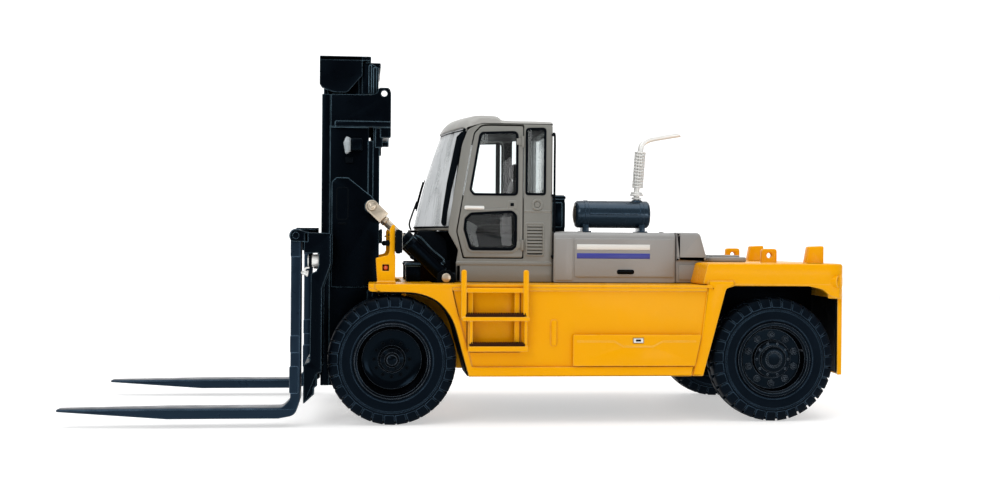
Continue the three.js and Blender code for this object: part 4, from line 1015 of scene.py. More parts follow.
@piece(PLASTIC, "steering_wheel")
def steering_wheel_rim(part):
    centre = Vector((23.6, 0, 60.4))
    column = Vector((math.cos(0.95), 0, math.sin(0.95)))
    across = Vector(ACROSS)
    third = column.cross(across)

    def spoke(turn):
        return across * math.cos(turn) + third * math.sin(turn)

    part.tube([centre + spoke(2 * math.pi * i / 40) * 3.4 for i in range(41)], 0.34, 10)
    for i in range(3):
        out = spoke(math.pi / 2 + 2 * math.pi * i / 3)
        part.tube([centre - column * 0.4 + out * 0.5, centre - column * 0.1 + out * 3.35], 0.26, 8)
    part.revolve([(0, -0.7), (0.8, -0.6), (1.0, -0.2), (1.0, 0.2), (0.7, 0.5), (0, 0.6)],
                 centre, column, 20)
    part.tube([centre - column * 0.5, centre - column * 5.9], [0.55, 0.8])


@piece(PLASTIC, "wiper")
def wiper_arm(part):
    part.tube(smooth([(6.0, 0.4, 52.2), (5.5, 0.4, 54.0), (6.4, 0.4, 57.0), (7.7, 0.4, 60.6)]),
              0.26, 8)
    part.box(5.1, 10.8, -0.3, 1.1, 51.45, 52.15, 0.15)
    part.tube([screen_point(0.03, rise, -0.55) for rise in (0.2, 0.3, 0.4, 0.5)], 0.3, 8)
    part.tube([screen_point(0.03, rise, -0.3) for rise in (0.18, 0.3, 0.42, 0.52)], 0.14, 6)


@piece(PLASTIC)
def cab_grab_rails(part):
    rail = [(45.0, 20.0, 79.2), (45.35, 20.75, 78.6), (45.35, 20.85, 70), (45.35, 20.85, 52),
            (45.35, 20.75, 45.2), (45.0, 20.0, 44.6)]
    for side in SIDES:
        part.tube(smooth([(x, side * y, z) for x, y, z in rail]), 0.33, 10)
        for z in (79.0, 62, 44.9):
            part.box(44.6, 45.6, side * 19.7, side * 20.7, z - 0.35, z + 0.35, 0.12)


@piece(CAB, "cab_door", body="cab_door")
def cab_door_panel(part):
    part.plate(DOOR, -20.2, -19.1, holes=[UPPER, LOWER])
    part.plate(grow(LOWER, 0.9), -20.42, -20.1, holes=[grow(LOWER, 0.25)], bevel=0.12)
    part.plate(round_rect(32.35, 34.6, 58.2, 60.4, 0.3, 3), -20.42, -20.1, bevel=0.1)
    for z in (46.5, 75.5):
        part.rod((36.4, -20.55, z), (36.4, -20.55, z + 3), 0.48, 14)
        part.box(34.6, 36.4, -20.5, -20.1, z + 0.6, z + 2.4, 0.15)


@piece(PLASTIC, body="cab_door")
def door_seals(part):
    part.plate(grow(UPPER, 0.2), -20.38, -19.6, holes=[grow(UPPER, -0.48)], bevel=0.1)
    part.plate(grow(LOWER, 0.2), -20.52, -19.6, holes=[grow(LOWER, -0.5)], bevel=0.1)
    part.box(33.0, 34.0, -20.55, -20.35, 58.9, 59.8, 0.08)


@piece(CLEAR, "door_glass", body="cab_door")
def door_panes(part):
    for window in (UPPER, LOWER):
        part.plate(grow(window, 0.7), -19.0, -18.5, bevel=0.08)


@piece(BRIGHT, body="cab_door")
def door_handle(part):
    part.plate(round_rect(20.1, 25.7, 57.85, 58.9, 0.45), -20.45, -20.15, bevel=0.1)
    part.plate(round_rect(20.5, 25.3, 58.05, 58.7, 0.3), -21.0, -20.4)


# Black gap around the door.
@piece(PLASTIC)
def cab_door_seal(part):
    part.plate(grow(DOOR, 0.22), -19.75, -19.2, holes=[grow(DOOR, 0.08)], bevel=0.05)


# ------------------------------------------------------------------ ladders, tool boxes, fenders
@sided(YELLOW, "ladder_{}")
def ladder_frame(part):
    for x in (20, 32.5):
        part.box(x, x + 1.4, -36.7, -34.9, 19.6, 35.9, 0.18)
    for x in (18.8, 35.4):
        part.plate(fillet([(x - 0.75, 28.2, 0.2), (x + 0.75, 28.2, 0.2), (x + 0.75, 41.4, 0.74),
                           (x - 0.75, 41.4, 0.74)], 0.3, 6), -38.6, -37.5, bevel=0.35)
    part.boxes((18.1, 36.1, -38.2, -36.6, 35.3, 36.6, 0.25),
               (18.4, 36.4, -38.8, -36.6, 27.8, 28.9, 0.22),
               (20.0, 36.0, -38.8, -36.6, 19.7, 21.1, 0.22),
               (20.4, 35.4, -36.9, -35.3, 28.1, 29.4, 0.15),
               (20.4, 35.4, -36.9, -35.3, 20.1, 21.2, 0.15))
    for x in (20.4, 35.0):
        part.box(x, x + 0.8, -38.5, -36.6, 21.0, 28.0, 0.18)


@sided(TREAD)
def ladder_treads(part):
    pitch = 0.62
    for z, x0, x1 in ((28.85, 19.2, 35.6), (21.05, 20.4, 35.2)):
        part.box(x0, x1, -38.6, -36.2, z, z + 0.75, 0.12)
        for i in range(int((x1 - x0) / pitch)):
            x = x0 + 0.3 + i * pitch
            part.boxes((x, x + 0.34, -38.62, -38.2, z + 0.5, z + 1.15, 0.06, 1),
                       (x, x + 0.34, -37.0, -36.6, z + 0.5, z + 1.15, 0.06, 1))


both(ladder_frame, ladder_treads)


@sided(YELLOW, "tool_box_{}")
def tool_box_door(part):
    part.plate(fillet([(48.4, 24.1), (83.7, 24.1), (81.9, 15.6), (48.4, 15.6)], 0.5),
               -36.9, -35.55, holes=[round_rect(64.7, 67.7, 21.75, 23.25, 0.2, 3)], bevel=0.28)
    part.box(64.6, 67.8, -36.2, -35.7, 21.6, 23.4, 0.05)
    # fold line that drops under the latch
    line = [(49.6, 22.4), (59.6, 22.4), (62.2, 21.0), (70.2, 21.0), (72.8, 22.4), (82.0, 22.4)]
    part.plate(line + [(x, z - 0.28) for x, z in reversed(line)], -37.0, -36.8, bevel=0.06)


@sided(WHITE)
def tool_box_latch(part):
    part.plate(round_rect(64.85, 67.55, 21.9, 23.1, 0.2, 3), -36.98, -36.2,
               holes=[round_rect(65.5, 66.9, 22.25, 22.8, 0.1, 2)], bevel=0.08)


@sided(PLASTIC)
def tool_box_latch_slot(part):
    part.box(65.4, 67.0, -36.8, -36.1, 22.2, 22.85, 0.05)


both(tool_box_door, tool_box_latch, tool_box_latch_slot)


@sided(YELLOW, "lamp_bracket_{}")
def fender_bracket(part):
    part.plate(fillet([(-4.05, 37.5, 0.1), (-4.5, 44.3, 0.4), (-1.3, 45.1, 0.8),
                       (-0.85, 46.0, 0.6), (-0.85, 52.0, 0.3), (-0.2, 53.2, 0.4), (0.6, 53.2, 0.4),
                       (0.6, 45.5, 0.2), (0.75, 44.8, 0.2), (0.75, 37.5, 0.1)], 0.1), -34, -32.8,
               holes=[round_rect(-2.7, -0.95, 40.9, 42.6, 0.15, 3)], bevel=0.25)
    part.box(-4.3, 0.9, -34.4, -32.4, 37.4, 38.1)


@sided(AMBER)
def fender_marker(part):
    part.ball((-1.82, -33.3, 41.75), 0.62)


@sided(TREAD)
def fender_socket(part):
    part.box(-2.9, -0.75, -33.2, -32.9, 40.7, 42.8, 0.1)


@sided(PLASTIC, "mirror_{}")
def mirror_head(part):
    part.boxes((0.75, 2.2, -36, -31.4, 45.5, 51.9, 0.5, 3), (2.0, 2.5, -35.8, -31.6, 45.7, 51.7))
    part.ball((-1.35, -33.4, 48.3), 0.85)
    part.rod((-1.3, -33.4, 48.3), (0.9, -33.4, 48.3), 0.3, 10)
    part.rod((-1.3, -33.4, 50.5), (0.9, -33.4, 50.5), 0.24, 10)


@sided(BRIGHT)
def mirror_glass(part):
    part.plate(round_rect(-35.4, -32.0, 46.1, 51.3, 0.5), 2.42, 2.56, bevel=0.04, plane="YZ")


both(fender_bracket, fender_marker, fender_socket, mirror_head, mirror_glass)


@piece(BLACK)
def deck_battery_box(part):
    for side in SIDES:
        part.boxes((4.1, 8.2, side * 8.6, side * 15.6, DECK_Z, 43.0, 0.35, 3),
                   (3.9, 8.4, side * 8.4, side * 15.8, 41.9, 42.5, 0.15))


# ------------------------------------------------------------------ wheels
REAR_Y = 30.2  # middle of the rear tyre


@sided(GLOSSY, "front_rim_{}", body="front_wheel_{}", angle=32)
def front_rim_disc(part):
    face = [(9.55, -18.9), (9.55, -36.9), (9.75, -37.3), (10.05, -37.45), (10.1, -37.65),
            (9.9, -37.75), (9.3, -37.6), (8.95, -37.0), (8.85, -36.2), (9.0, -36.0),
            (8.75, -35.7), (8.5, -34.5), (8.4, -33.2), (8.15, -32.7), (8.0, -31.4), (7.2, -30.9),
            (5.6, -30.8), (3.7, -31.0), (3.55, -31.3), (3.45, -33.0), (3.1, -33.4), (2.0, -33.7),
            (1.9, -34.0), (1.5, -34.3), (0.0, -34.4)]
    back = [(0.0, -30.2), (3.0, -29.9), (7.6, -29.6), (8.3, -28.5), (8.6, -18.9)]
    part.revolve(face + back, (0, 0, HUB_Z), ACROSS, 72)
    part.revolve([(0, 0), (1.15, 0), (1.3, -0.15), (1.3, -0.5), (0.9, -0.75), (0, -0.8)],
                 (0, -34.2, HUB_Z), ACROSS, 24)
    part.revolve([(9.2, 0.0), (9.45, 0.12), (9.2, 0.24), (8.95, 0.12)], (0, -36.6, HUB_Z), ACROSS,
                 72, closed=True)


def around_hub(x, y, radius, turn):
    return (x + radius * math.cos(turn), y, HUB_Z + radius * math.sin(turn))


@sided(PLASTIC, body="front_wheel_{}", angle=32)
def front_hub_bolts(part):
    for i in range(12):
        turn = 2 * math.pi * i / 12
        part.hexnut(around_hub(0, -30.75, 4.75, turn), LEFTWARD, 0.52, 0.6, turn)
    for i in range(8):
        turn = 2 * math.pi * (i + 0.5) / 8
        part.hexnut(around_hub(0, -33.5, 2.6, turn), LEFTWARD, 0.34, 0.35, turn)
    # valve
    part.tube([(7.6, -31.0, 20.6), (8.0, -32.0, 20.8), (8.1, -32.9, 20.9)], 0.22, 8)


@sided(GLOSSY, "rear_rim_{}", body="rear_wheel_{}", angle=32)
def rear_rim_disc(part):
    y = -REAR_Y
    face = [(9.5, 4.2), (9.5, -3.9), (9.75, -4.3), (10.05, -4.4), (10.1, -4.6), (9.85, -4.68),
            (9.3, -4.6), (9.0, -4.2), (8.75, -4.0), (8.6, -2.2), (8.2, -1.5), (5.4, -1.5),
            (5.2, -1.8), (5.1, -2.9), (4.8, -3.05), (3.8, -3.05), (3.65, -3.2), (3.5, -3.9),
            (3.1, -4.1), (2.3, -4.1), (2.15, -3.8), (1.9, -3.8), (1.7, -4.1), (0, -4.2)]
    back = [(0, -1.1), (3.0, -1.0), (8.0, -0.6), (8.7, 0.8), (8.8, 4.2)]
    part.revolve(face + back, (REAR_X, y, HUB_Z), ACROSS, 72)
    for i in range(10):
        turn = 2 * math.pi * (i + 0.5) / 10
        part.hexnut(around_hub(REAR_X, y - 1.45, 6.75, turn), LEFTWARD, 0.95, 0.75, turn)
        part.stud(around_hub(REAR_X, y - 2.15, 6.75, turn), LEFTWARD, 0.42, 0.3, 0.35, 0.5, 14)
    for i in range(10):
        turn = 2 * math.pi * i / 10
        part.stud(around_hub(REAR_X, y - 3.0, 4.4, turn), LEFTWARD, 0.28, 0.2, 0.2, 0.3, 10)
    # valve
    part.tube([(REAR_X + 7.9, y - 1.5, 19.4), (REAR_X + 8.25, y - 2.7, 19.5),
               (REAR_X + 8.3, y - 3.3, 19.5)], 0.2, 8)


both(front_rim_disc, front_hub_bolts)
both(rear_rim_disc)

# tyre section from the bead to the middle of the tread: (radius, along the axle)
TYRE = [(9.75, -3.9), (10.3, -4.25), (10.8, -4.5), (11.0, -4.42), (11.3, -4.55), (12.4, -4.68),
        (13.3, -4.66), (13.45, -4.5), (13.6, -4.5), (13.75, -4.62), (14.25, -4.5), (14.5, -4.2),
        (15.6, -3.85), (16.0, -3.4), (16.15, -2.4), (16.15, 0)]
# lug from the middle of the tread to the shoulder:
# (top along, top radius, root along, root radius, share of the pitch, skew)
LUG = [(0.25, 17.1, 0.25, 15.6, 0.36, 0.9), (1.9, 17.1, 1.9, 15.6, 0.39, 0.55),
       (3.3, 16.98, 2.8, 15.6, 0.41, 0.2), (3.8, 16.5, 3.3, 15.6, 0.42, 0.08),
       (4.45, 14.35, 3.95, 14.2, 0.43, 0.0)]
LUG_PITCH = 2 * math.pi / 32


def add_lug(part, x, y, side, middle):
    solid = bmesh.new()
    corners = []
    for along, radius, root_along, root_radius, share, skew in LUG:
        for edge in (-1, 1):
            turn = middle + LUG_PITCH * (edge * share + skew * 0.35)
            for out, size in ((along, radius), (root_along, root_radius)):
                corners.append(solid.verts.new(around_hub(x, y + side * out, size, turn)))
    for a in range(0, 16, 4):
        for i, j in ((0, 2), (2, 3), (3, 1), (1, 0)):
            solid.faces.new([corners[k] for k in (a + i, a + 4 + i, a + 4 + j, a + j)])
    for cap in ((0, 1, 3, 2), (16, 18, 19, 17)):
        solid.faces.new([corners[k] for k in cap])
    bmesh.ops.recalc_face_normals(solid, faces=solid.faces)
    sharp = [edge for edge in solid.edges if edge.calc_face_angle(0) > 0.6]
    bmesh.ops.bevel(solid, geom=sharp, offset=0.13, segments=1, profile=0.5, affect="EDGES",
                    clamp_overlap=True)
    part.add(solid)


def tyre(name, side_name, wheel, node, x, y):
    def shape(part):
        part.revolve(TYRE + [(radius, -along) for radius, along in TYRE[-2::-1]], (x, y, HUB_Z),
                     ACROSS, 96, closed=True)
        for side in SIDES:
            for i in range(32):
                add_lug(part, x, y, side, LUG_PITCH * (i + (0.25 if side > 0 else 0.75)))
    build(shape, f"{name}_{side_name}", RUBBER, f"{node}_{side_name}",
          body=f"{wheel}_{side_name}", angle=45)


for side_name, side in (("left", -1), ("right", 1)):
    tyre("front_outer_tyre", side_name, "front_wheel", "front_tyre_outer", 0, side * 33.2)
    tyre("front_inner_tyre", side_name, "front_wheel", "front_tyre_inner", 0, side * 22.8)
    tyre("rear_lugged_tyre", side_name, "rear_wheel", "rear_tyre", REAR_X, side * REAR_Y)

# ------------------------------------------------------------------ mast
TILT_X, TILT_Z = -5.6, 58.4  # tilt rod pin on the mast
LIFT_X, LIFT_Y = -4.75, -13.4  # left lift cylinder
MAST_FOOT, MAST_TOP = 8.6, 89.6
CHAIN_X, CHAIN_Y = -14.1, 5.2
WHEEL_X, CHAIN_TOP = -12.0, 96.3


@piece(PLASTIC, body="outer_mast")
def mast_side_slots(part):
    part.plate(fillet([(-15.4, 54.6), (-15.4, 63.8), (-12.0, 63.8), (-12.0, 54.6)], 0.9),
               -18.02, -17.8, bevel=0.05,
               holes=[fillet([(-15.1, 54.9), (-15.1, 63.5), (-12.3, 63.5), (-12.3, 54.9)], 0.7)])
    part.boxes((-14.9, -12.6, -18.1, -17.8, 53.4, 53.9, 0.06),
               (-12.9, -10.9, -18.2, -17.0, 70.6, 72.2, 0.15))
    part.mirror()


@piece(BLACK, "outer_mast", body="outer_mast")
def outer_mast_frame(part):
    part.plate(fillet([(-17.7, -17.2), (-6.5, -17.2), (-6.5, -12.2), (-7.8, -12.2), (-7.8, -15.9),
                       (-16.4, -15.9), (-16.4, -15.2), (-17.7, -15.2)], 0.3, 3),
               MAST_FOOT, MAST_TOP, bevel=0.15, plane="XY")
    part.boxes((-5.3, -3.6, -17.3, -16.3, 9.2, 89.0),
               (-19.5, -17.2, -17.6, -16.85, MAST_FOOT, MAST_TOP))
    for z0, z1 in ((9.5, 35), (36.5, 47), (53.5, 76.8)):
        part.box(-6.7, -3.5, -17.2, -16.5, z0, z1, 0.15)
    part.plate(fillet([(-16.6, 36, 0.5), (-16.6, 65.2, 0.6), (-15.4, 66.4, 0.6),
                       (-12.2, 66.4, 0.8), (-5.6, 61.2, 1.2), (-3.5, 58.4, 1.0), (-3.5, 36, 0.4)],
                      0.4), -17.95, -17.1, bevel=0.18)
    part.plate(fillet([(-17, 80.5, 0.3), (-17, 89.6, 0.4), (-6, 89.6, 0.8), (-4.3, 90.1, 0.8),
                       (-3.9, 91.6, 1.2), (-0.9, 91.6, 1.2), (-0.4, 90.2, 1), (-0.4, 77.7, 0.4),
                       (-3.3, 77.7, 0.4), (-3.3, 80.5, 0.2)], 0.3), -18.2, -16.9,
               holes=[circle(-2.3, 90, 0.85, 18)], bevel=0.22)
    part.box(-15.8, -0.4, -19.0, -17.6, 80.5, 82.1, 0.25)
    part.rod((TILT_X, -17.8, TILT_Z), (TILT_X, -23.1, TILT_Z), 0.93)
    part.ring((TILT_X, -18.5, TILT_Z), ACROSS, 0.9, 1.9, 1.2)
    part.ring((0, -9.5, HUB_Z), ACROSS, 2.75, 4.5, 3.0, 32)
    part.boxes((-7.7, -3.8, -11, -8, 12.6, 21.6, 0.3),
               (-6.7, -3.3, -15.2, -11.6, MAST_FOOT, 9.8))
    part.ring((LIFT_X, LIFT_Y, 85), UP, 1.32, 2.1, 2.0)
    part.boxes((-6.8, -5.6, -16.6, -11.6, 84.1, 85.9), (-3.0, -0.6, -18.0, -15.0, 77.7, 80.3, 0.3),
               (-4.7, -2.7, -17.7, -17.0, 75.0, 80.2, 0.15))
    part.mirror()
    part.boxes((-7.8, -6.5, -16, 16, MAST_FOOT, 14, 0.25), (-7.8, -6.5, -16, 16, 20, 24, 0.25),
               (-3.3, -2.6, -17.5, 17.5, 48.2, 52.2), (-2.7, -0.9, -16, 16, 79.0, 80.3, 0.3),
               (-3.0, -1.4, -17.5, 17.5, 86, 89, 0.3), (-7.8, -6.5, -16, 16, 66, 70, 0.25))


@piece(BLACK, "inner_mast", body="inner_mast")
def inner_mast_frame(part):
    part.plate(fillet([(-19, -16.6), (-18, -16.6), (-18, -14.8), (-9.4, -14.8), (-9.4, -15.5),
                       (-8.4, -15.5), (-8.4, -12.6), (-9.4, -12.6), (-9.4, -13.8), (-18, -13.8),
                       (-18, -12.6), (-19, -12.6)], 0.2, 2), 9.4, 99.4, bevel=0.12, plane="XY")
    part.plate(fillet([(-20.2, 100.2, 0.3), (-8.4, 100.2, 0.3), (-8.4, 95, 0.8),
                       (-12.6, 90.1, 1.2), (-16.3, 90.1, 1.0), (-19.6, 91.4, 0.8),
                       (-20.2, 92.4, 0.4)], 0.4), -18, -16.5, bevel=0.22)
    part.plate(fillet([(-8.45, 89.95), (-8.45, 98.6), (-5.8, 98.4), (-3.9, 97.2), (-3.9, 89.95)],
                      0.3, 3), -16.4, -14.5, bevel=0.25)
    part.box(-6.6, -5.9, -16.6, -16.2, 90.0, 98.0)
    part.rod((-4.9, -16.2, 90.0), (-4.9, -16.2, 97.3), 0.45, 14)
    part.mirror()
    part.boxes((-20.2, -6, -18, 18, 99.0, 100.2, 0.25), (-6.4, -3.3, -15.4, 15.4, 97.3, 98.8, 0.3),
               (-7.4, -6.2, -15.4, 15.4, 97.3, 99.4))
    for z0, z1 in ((10, 14), (52, 56), (91, 96)):
        part.box(-9.4, -8.4, -14.8, 14.8, z0, z1)


@piece(STEEL, body="inner_mast")
def chain_wheels(part):
    for y in (-CHAIN_Y, CHAIN_Y):
        part.revolve([(0.6, -0.9), (2.5, -0.9), (2.5, -0.65), (2.05, -0.5), (2.05, 0.5),
                      (2.5, 0.65), (2.5, 0.9), (0.6, 0.9)], (WHEEL_X, y, CHAIN_TOP), ACROSS, 32,
                     closed=True)
    part.rod((WHEEL_X, -8, CHAIN_TOP), (WHEEL_X, 8, CHAIN_TOP), 0.6, 14)


@piece(BLACK, body="inner_mast")
def chain_wheel_brackets(part):
    for y in (-7.6, -2.9, 2.9, 7.6):
        part.plate(fillet([(-13.6, 95.2), (-13.6, 99.1), (-8.6, 99.1), (-8.6, 93.2), (-10, 93.2)],
                          0.5), y - 0.35, y + 0.35, bevel=0.12)


def chain(part, y, foot=47.5):
    height = CHAIN_TOP - foot
    count = int(height / 1.05)
    for i in range(count):
        z = foot + (i + 0.5) * height / count
        gap = 0.34 if i % 2 else 0.62
        for side in SIDES:
            link = y + side * gap
            part.box(CHAIN_X - 0.42, CHAIN_X + 0.42, link - 0.12, link + 0.12, z - 0.78, z + 0.78,
                     0.1, 1)
        part.revolve([(0, -0.8), (0.22, -0.8), (0.22, 0.8), (0, 0.8)], (CHAIN_X, y, z + 0.5),
                     ACROSS, 8)


for name, y in (("lift_chain_left", -CHAIN_Y), ("lift_chain_right", CHAIN_Y)):
    links = build(lambda part: chain(part, y), name, STEEL, body="inner_mast")
    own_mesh(links)


@sided(BLACK, "lift_cylinder_{}", body="outer_mast")
def lift_tube(part):
    part.revolve([(0.95, 12), (0.95, 88.2), (1.1, 88.4), (1.35, 88.3), (1.45, 88), (1.45, 86.9),
                  (1.25, 86.7), (1.25, 12.4), (1.4, 12.2), (1.45, 11.2), (1.2, 9.9), (0, 9.9),
                  (0, 12)], (LIFT_X, LIFT_Y, 0), UP, 28)
    part.ring((LIFT_X, LIFT_Y, 87.6), UP, 1.2, 1.6, 0.5)
    pipe = [(0, -1.0, 12.6), (0.4, -1.9, 13.5), (0.4, -2.0, 20), (0.4, -2.0, 46)]
    part.tube(smooth([(LIFT_X + x, LIFT_Y + y, z) for x, y, z in pipe]), 0.26, 8)


@sided(BLACK, "lift_rod_{}", body="inner_mast")
def lift_ram(part):
    part.rod((LIFT_X, LIFT_Y, 36), (LIFT_X, LIFT_Y, 97.25), 0.72, 24)
    part.ring((LIFT_X, LIFT_Y, 96.6), UP, 0.7, 1.15, 0.9, 20)


@sided(BLACK, "mast_lamp_{}", body="outer_mast")
def mast_lamp_body(part):
    part.boxes((-11.6, -8.2, -20.9, -18.0, 73.8, 77.3, 0.6, 3),
               (-9.9, -8.6, -18.6, -17.2, 74.6, 76.2, 0.25))


@sided(LENS, body="outer_mast")
def mast_lamp_glass(part):
    part.plate(fillet([(-11.5, 73.6, 0.2), (-12.9, 72.5, 0.5), (-13.5, 75.9, 0.4),
                       (-12.7, 77.8, 0.5), (-11.5, 77.2, 0.2)], 0.3), -21.3, -17.8, bevel=0.4)


both(lift_tube, lift_ram, mast_lamp_body, mast_lamp_glass)

# ------------------------------------------------------------------ carriage and forks
BAR_X, BAR_Z = -25.2, 50.1  # the bar the forks hang from


@piece(BLACK, "carriage", body="carriage")
def carriage_frame(part):
    cheek = fillet([(-23.1, 51, 0.4), (-16.2, 50.8, 0.5), (-16.2, 42.6, 1), (-18.4, 36.4, 1.5),
                    (-18.4, 14.6, 0.2), (-19.5, 14.3, 0.2), (-19.5, 11.0, 0.3), (-20.2, 10.6, 0.3),
                    (-20.3, 8.8, 0.2), (-22.9, 6.4, 0.3), (-23.1, 6.6, 0.2), (-23.1, 16.5, 0.3),
                    (-21.5, 17.4, 0.6), (-21.3, 36.5, 0.6), (-21.3, 40.2, 0.4), (-19.9, 40.9, 0.5),
                    (-19.3, 42.4, 0.3), (-19.3, 45.6, 0.3), (-23.1, 45.5, 0.3)], 0.3)
    part.plate(cheek, -40.9, -38.3, bevel=0.3)
    part.plate(cheek, -20.6, -18.6, bevel=0.25)
    part.plate(fillet([(-20.7, 11), (-20.7, 47), (-10.6, 47), (-10.4, 44), (-10.4, 14),
                       (-12, 11)], 1.0), -12.1, -10.8)
    for z in (15.4, 42.5):
        part.revolve([(0, -1.0), (2.6, -1.0), (2.8, -0.8), (3.7, -0.8), (4.0, -0.5), (4.0, 0.9),
                      (3.8, 1.1), (0, 1.1)], (-13.7, -12.45, z), LEFTWARD, 36)
    part.plate(fillet([(-26.6, 48.6, 1), (-26.8, 50.1, 1.2), (-26.3, 51.6, 1.2),
                       (-24.6, 51.7, 0.8), (-22.0, 51, 0.2), (-22.0, 48.4, 0.2)], 0.3, 5),
               -40.9, -39.95)
    for y in (-33, -27):
        part.box(-22.7, -22.3, y - 1, y + 1, 46.6, 49.6, 0.15)
    part.mirror()
    part.boxes((-22.6, -20.5, -40, 40, 45.9, 50.4, 0.3), (-23.1, -20.4, -40, 40, 10.8, 16.4, 0.35))
    part.plate(fillet([(-26.9, 47.6, 0.8), (-26.9, 52.3, 0.4), (-20.8, 52.3, 0.4),
                       (-20.8, 46, 0.3), (-25.6, 46, 1.2)], 0.4), -1.1, 1.1,
               holes=[circle(BAR_X, BAR_Z, 1.05, 20)], bevel=0.25)
    part.box(-27.2, -20.8, -1.8, 1.8, 52.1, 52.6, 0.15)


@piece(BLACK, "fork_shaft", body="carriage")
def fork_bar(part):
    part.rod((BAR_X, -41, BAR_Z), (BAR_X, 41, BAR_Z), 0.93, 24, 0.15)


# Fork positioning rams behind the forks.
@piece(BRIGHT, body="carriage")
def fork_rams(part):
    for side in SIDES:
        part.rod((-21.4, side * 14, 43.8), (-21.4, side * 37.2, 43.8), 0.5, 16)
        part.revolve([(0, 0), (1.5, 0), (1.65, 0.2), (1.65, 3.0), (1.5, 3.2), (0, 3.2)],
                     (-22.2, side * 38.6, 43.6), AFT, 28)


@piece(PLASTIC, body="carriage")
def fork_ram_collars(part):
    for side in SIDES:
        part.ring((-21.5, side * 38.6, 43.6), AFT, 1.6, 1.8, 0.8, 28)
        part.rod((-21.4, side * 21, 43.8), (-21.4, side * 36.4, 43.8), 0.85)


@piece(BRIGHT, body="carriage")
def carriage_grease_nipples(part):
    for side in SIDES:
        part.revolve([(0, 0), (0.8, 0), (0.85, 0.3), (0.55, 0.8), (0.45, 1.1), (0.6, 1.4),
                      (0.35, 1.8), (0, 1.9)], (-22.0, side * 39.6, 40.2), (-1, 0, 0.15), 18)
        part.tube(smooth([(-22.3, side * 40.6, 40.6), (-22.9, side * 40.8, 41.0),
                          (-22.6, side * 40.8, 41.6), (-21.7, side * 40.7, 41.8)]), 0.24, 8)


@piece(STEEL, body="carriage")
def chain_anchors(part):
    for y in (-CHAIN_Y, CHAIN_Y):
        part.rod((CHAIN_X, y, 44.2), (CHAIN_X, y, 47.4), 0.5, 14)
        part.hexnut((CHAIN_X, y, 44.0), UP, 0.95, 0.8)


@piece(BLACK, body="carriage")
def chain_anchor_beam(part):
    part.box(-15.3, -13.0, -11.0, 11.0, 42.4, 44.1, 0.25)


@sided(FORKS, "fork_{}", body="fork_{}")
def fork_blade(part):
    middle, half = -35.9, 3.75

    def taper(vert):
        """Narrows the blade over its last 10 mm."""
        narrow = 1 - 0.42 * clamp((-76 - vert.co.x) / 10) ** 2
        vert.co.y = middle + (vert.co.y - middle) * narrow

    part.plate(fillet([(-23.9, 49.5, 0), (-23.9, 7.4, 2.0), (-25.2, 3.2, 2.6), (-29.5, 2.4, 3),
                       (-58, 2.4, 8), (-86, 4.25, 0.3), (-86, 4.9, 0.3), (-58, 5.2, 6),
                       (-28.6, 5.25, 2.2), (-26.5, 7.4, 2.0), (-26.5, 49.5, 0)], 0.1, 6),
               middle - half, middle + half, bevel=0.35, shape=taper)
    part.ring((BAR_X, middle, BAR_Z), ACROSS, 1.12, 1.8, 7.4, 32)
    # raised pads on the shank: x0, x1, z0, z1, corner radius, steps, overhang, bevel
    for x0, x1, z0, z1, radius, steps, over, bevel in (
            (-26.75, -24.4, 9.0, 16.0, 0.4, 4, 0.12, 0.22),
            (-26.6, -24.2, 19.6, 24.0, 0.3, 3, 0.1, 0.2),
            (-26.6, -24.0, 44.6, 49.4, 0.3, 3, 0.1, 0.2)):
        part.plate(fillet([(x0, z0), (x0, z1), (x1, z1), (x1, z0)], radius, steps),
                   middle - half - over, middle + half + over, bevel=bevel)


both(fork_blade)

# ------------------------------------------------------------------ tilt cylinders
BASE_X, BASE_Y, BASE_Z = 14.9, -21.0, 38.9
TILT_LENGTH = math.hypot(TILT_X - BASE_X, TILT_Z - BASE_Z)
TILT_AXIS = Vector(((TILT_X - BASE_X) / TILT_LENGTH, 0, (TILT_Z - BASE_Z) / TILT_LENGTH))


def along_tilt(distance):
    return Vector((BASE_X, BASE_Y, BASE_Z)) + TILT_AXIS * distance


@sided(BLACK, "tilt_cylinder_{}", body="tilt_cylinder_{}")
def tilt_barrel(part):
    base = along_tilt(0)
    part.revolve([(0, 1.0), (1.7, 1.2), (2.05, 1.6), (2.05, 12.6), (2.15, 12.8), (2.15, 13.1),
                  (2.05, 13.3), (2.05, 14.2), (2.32, 14.4), (2.32, 15.9), (2.1, 16.3), (1.2, 16.4),
                  (0.95, 16.2), (0.95, 4), (0, 4)], base, TILT_AXIS, 36)
    part.ring(base, ACROSS, 1.0, 1.95, 3.4, 28)
    normal = Vector((-TILT_AXIS.z, 0, TILT_AXIS.x))
    for distance in (3.2, 13.6):
        port = along_tilt(distance)
        part.rod(port + normal * -1.9, port + normal * -2.9, 0.5, 12)
    pipe = [(3.2, 2.8), (4.2, 3.3), (8, 3.0), (12.4, 3.2), (13.6, 2.8)]  # along, off the axis
    part.tube(smooth([along_tilt(along) - normal * off for along, off in pipe]), 0.26, 8)


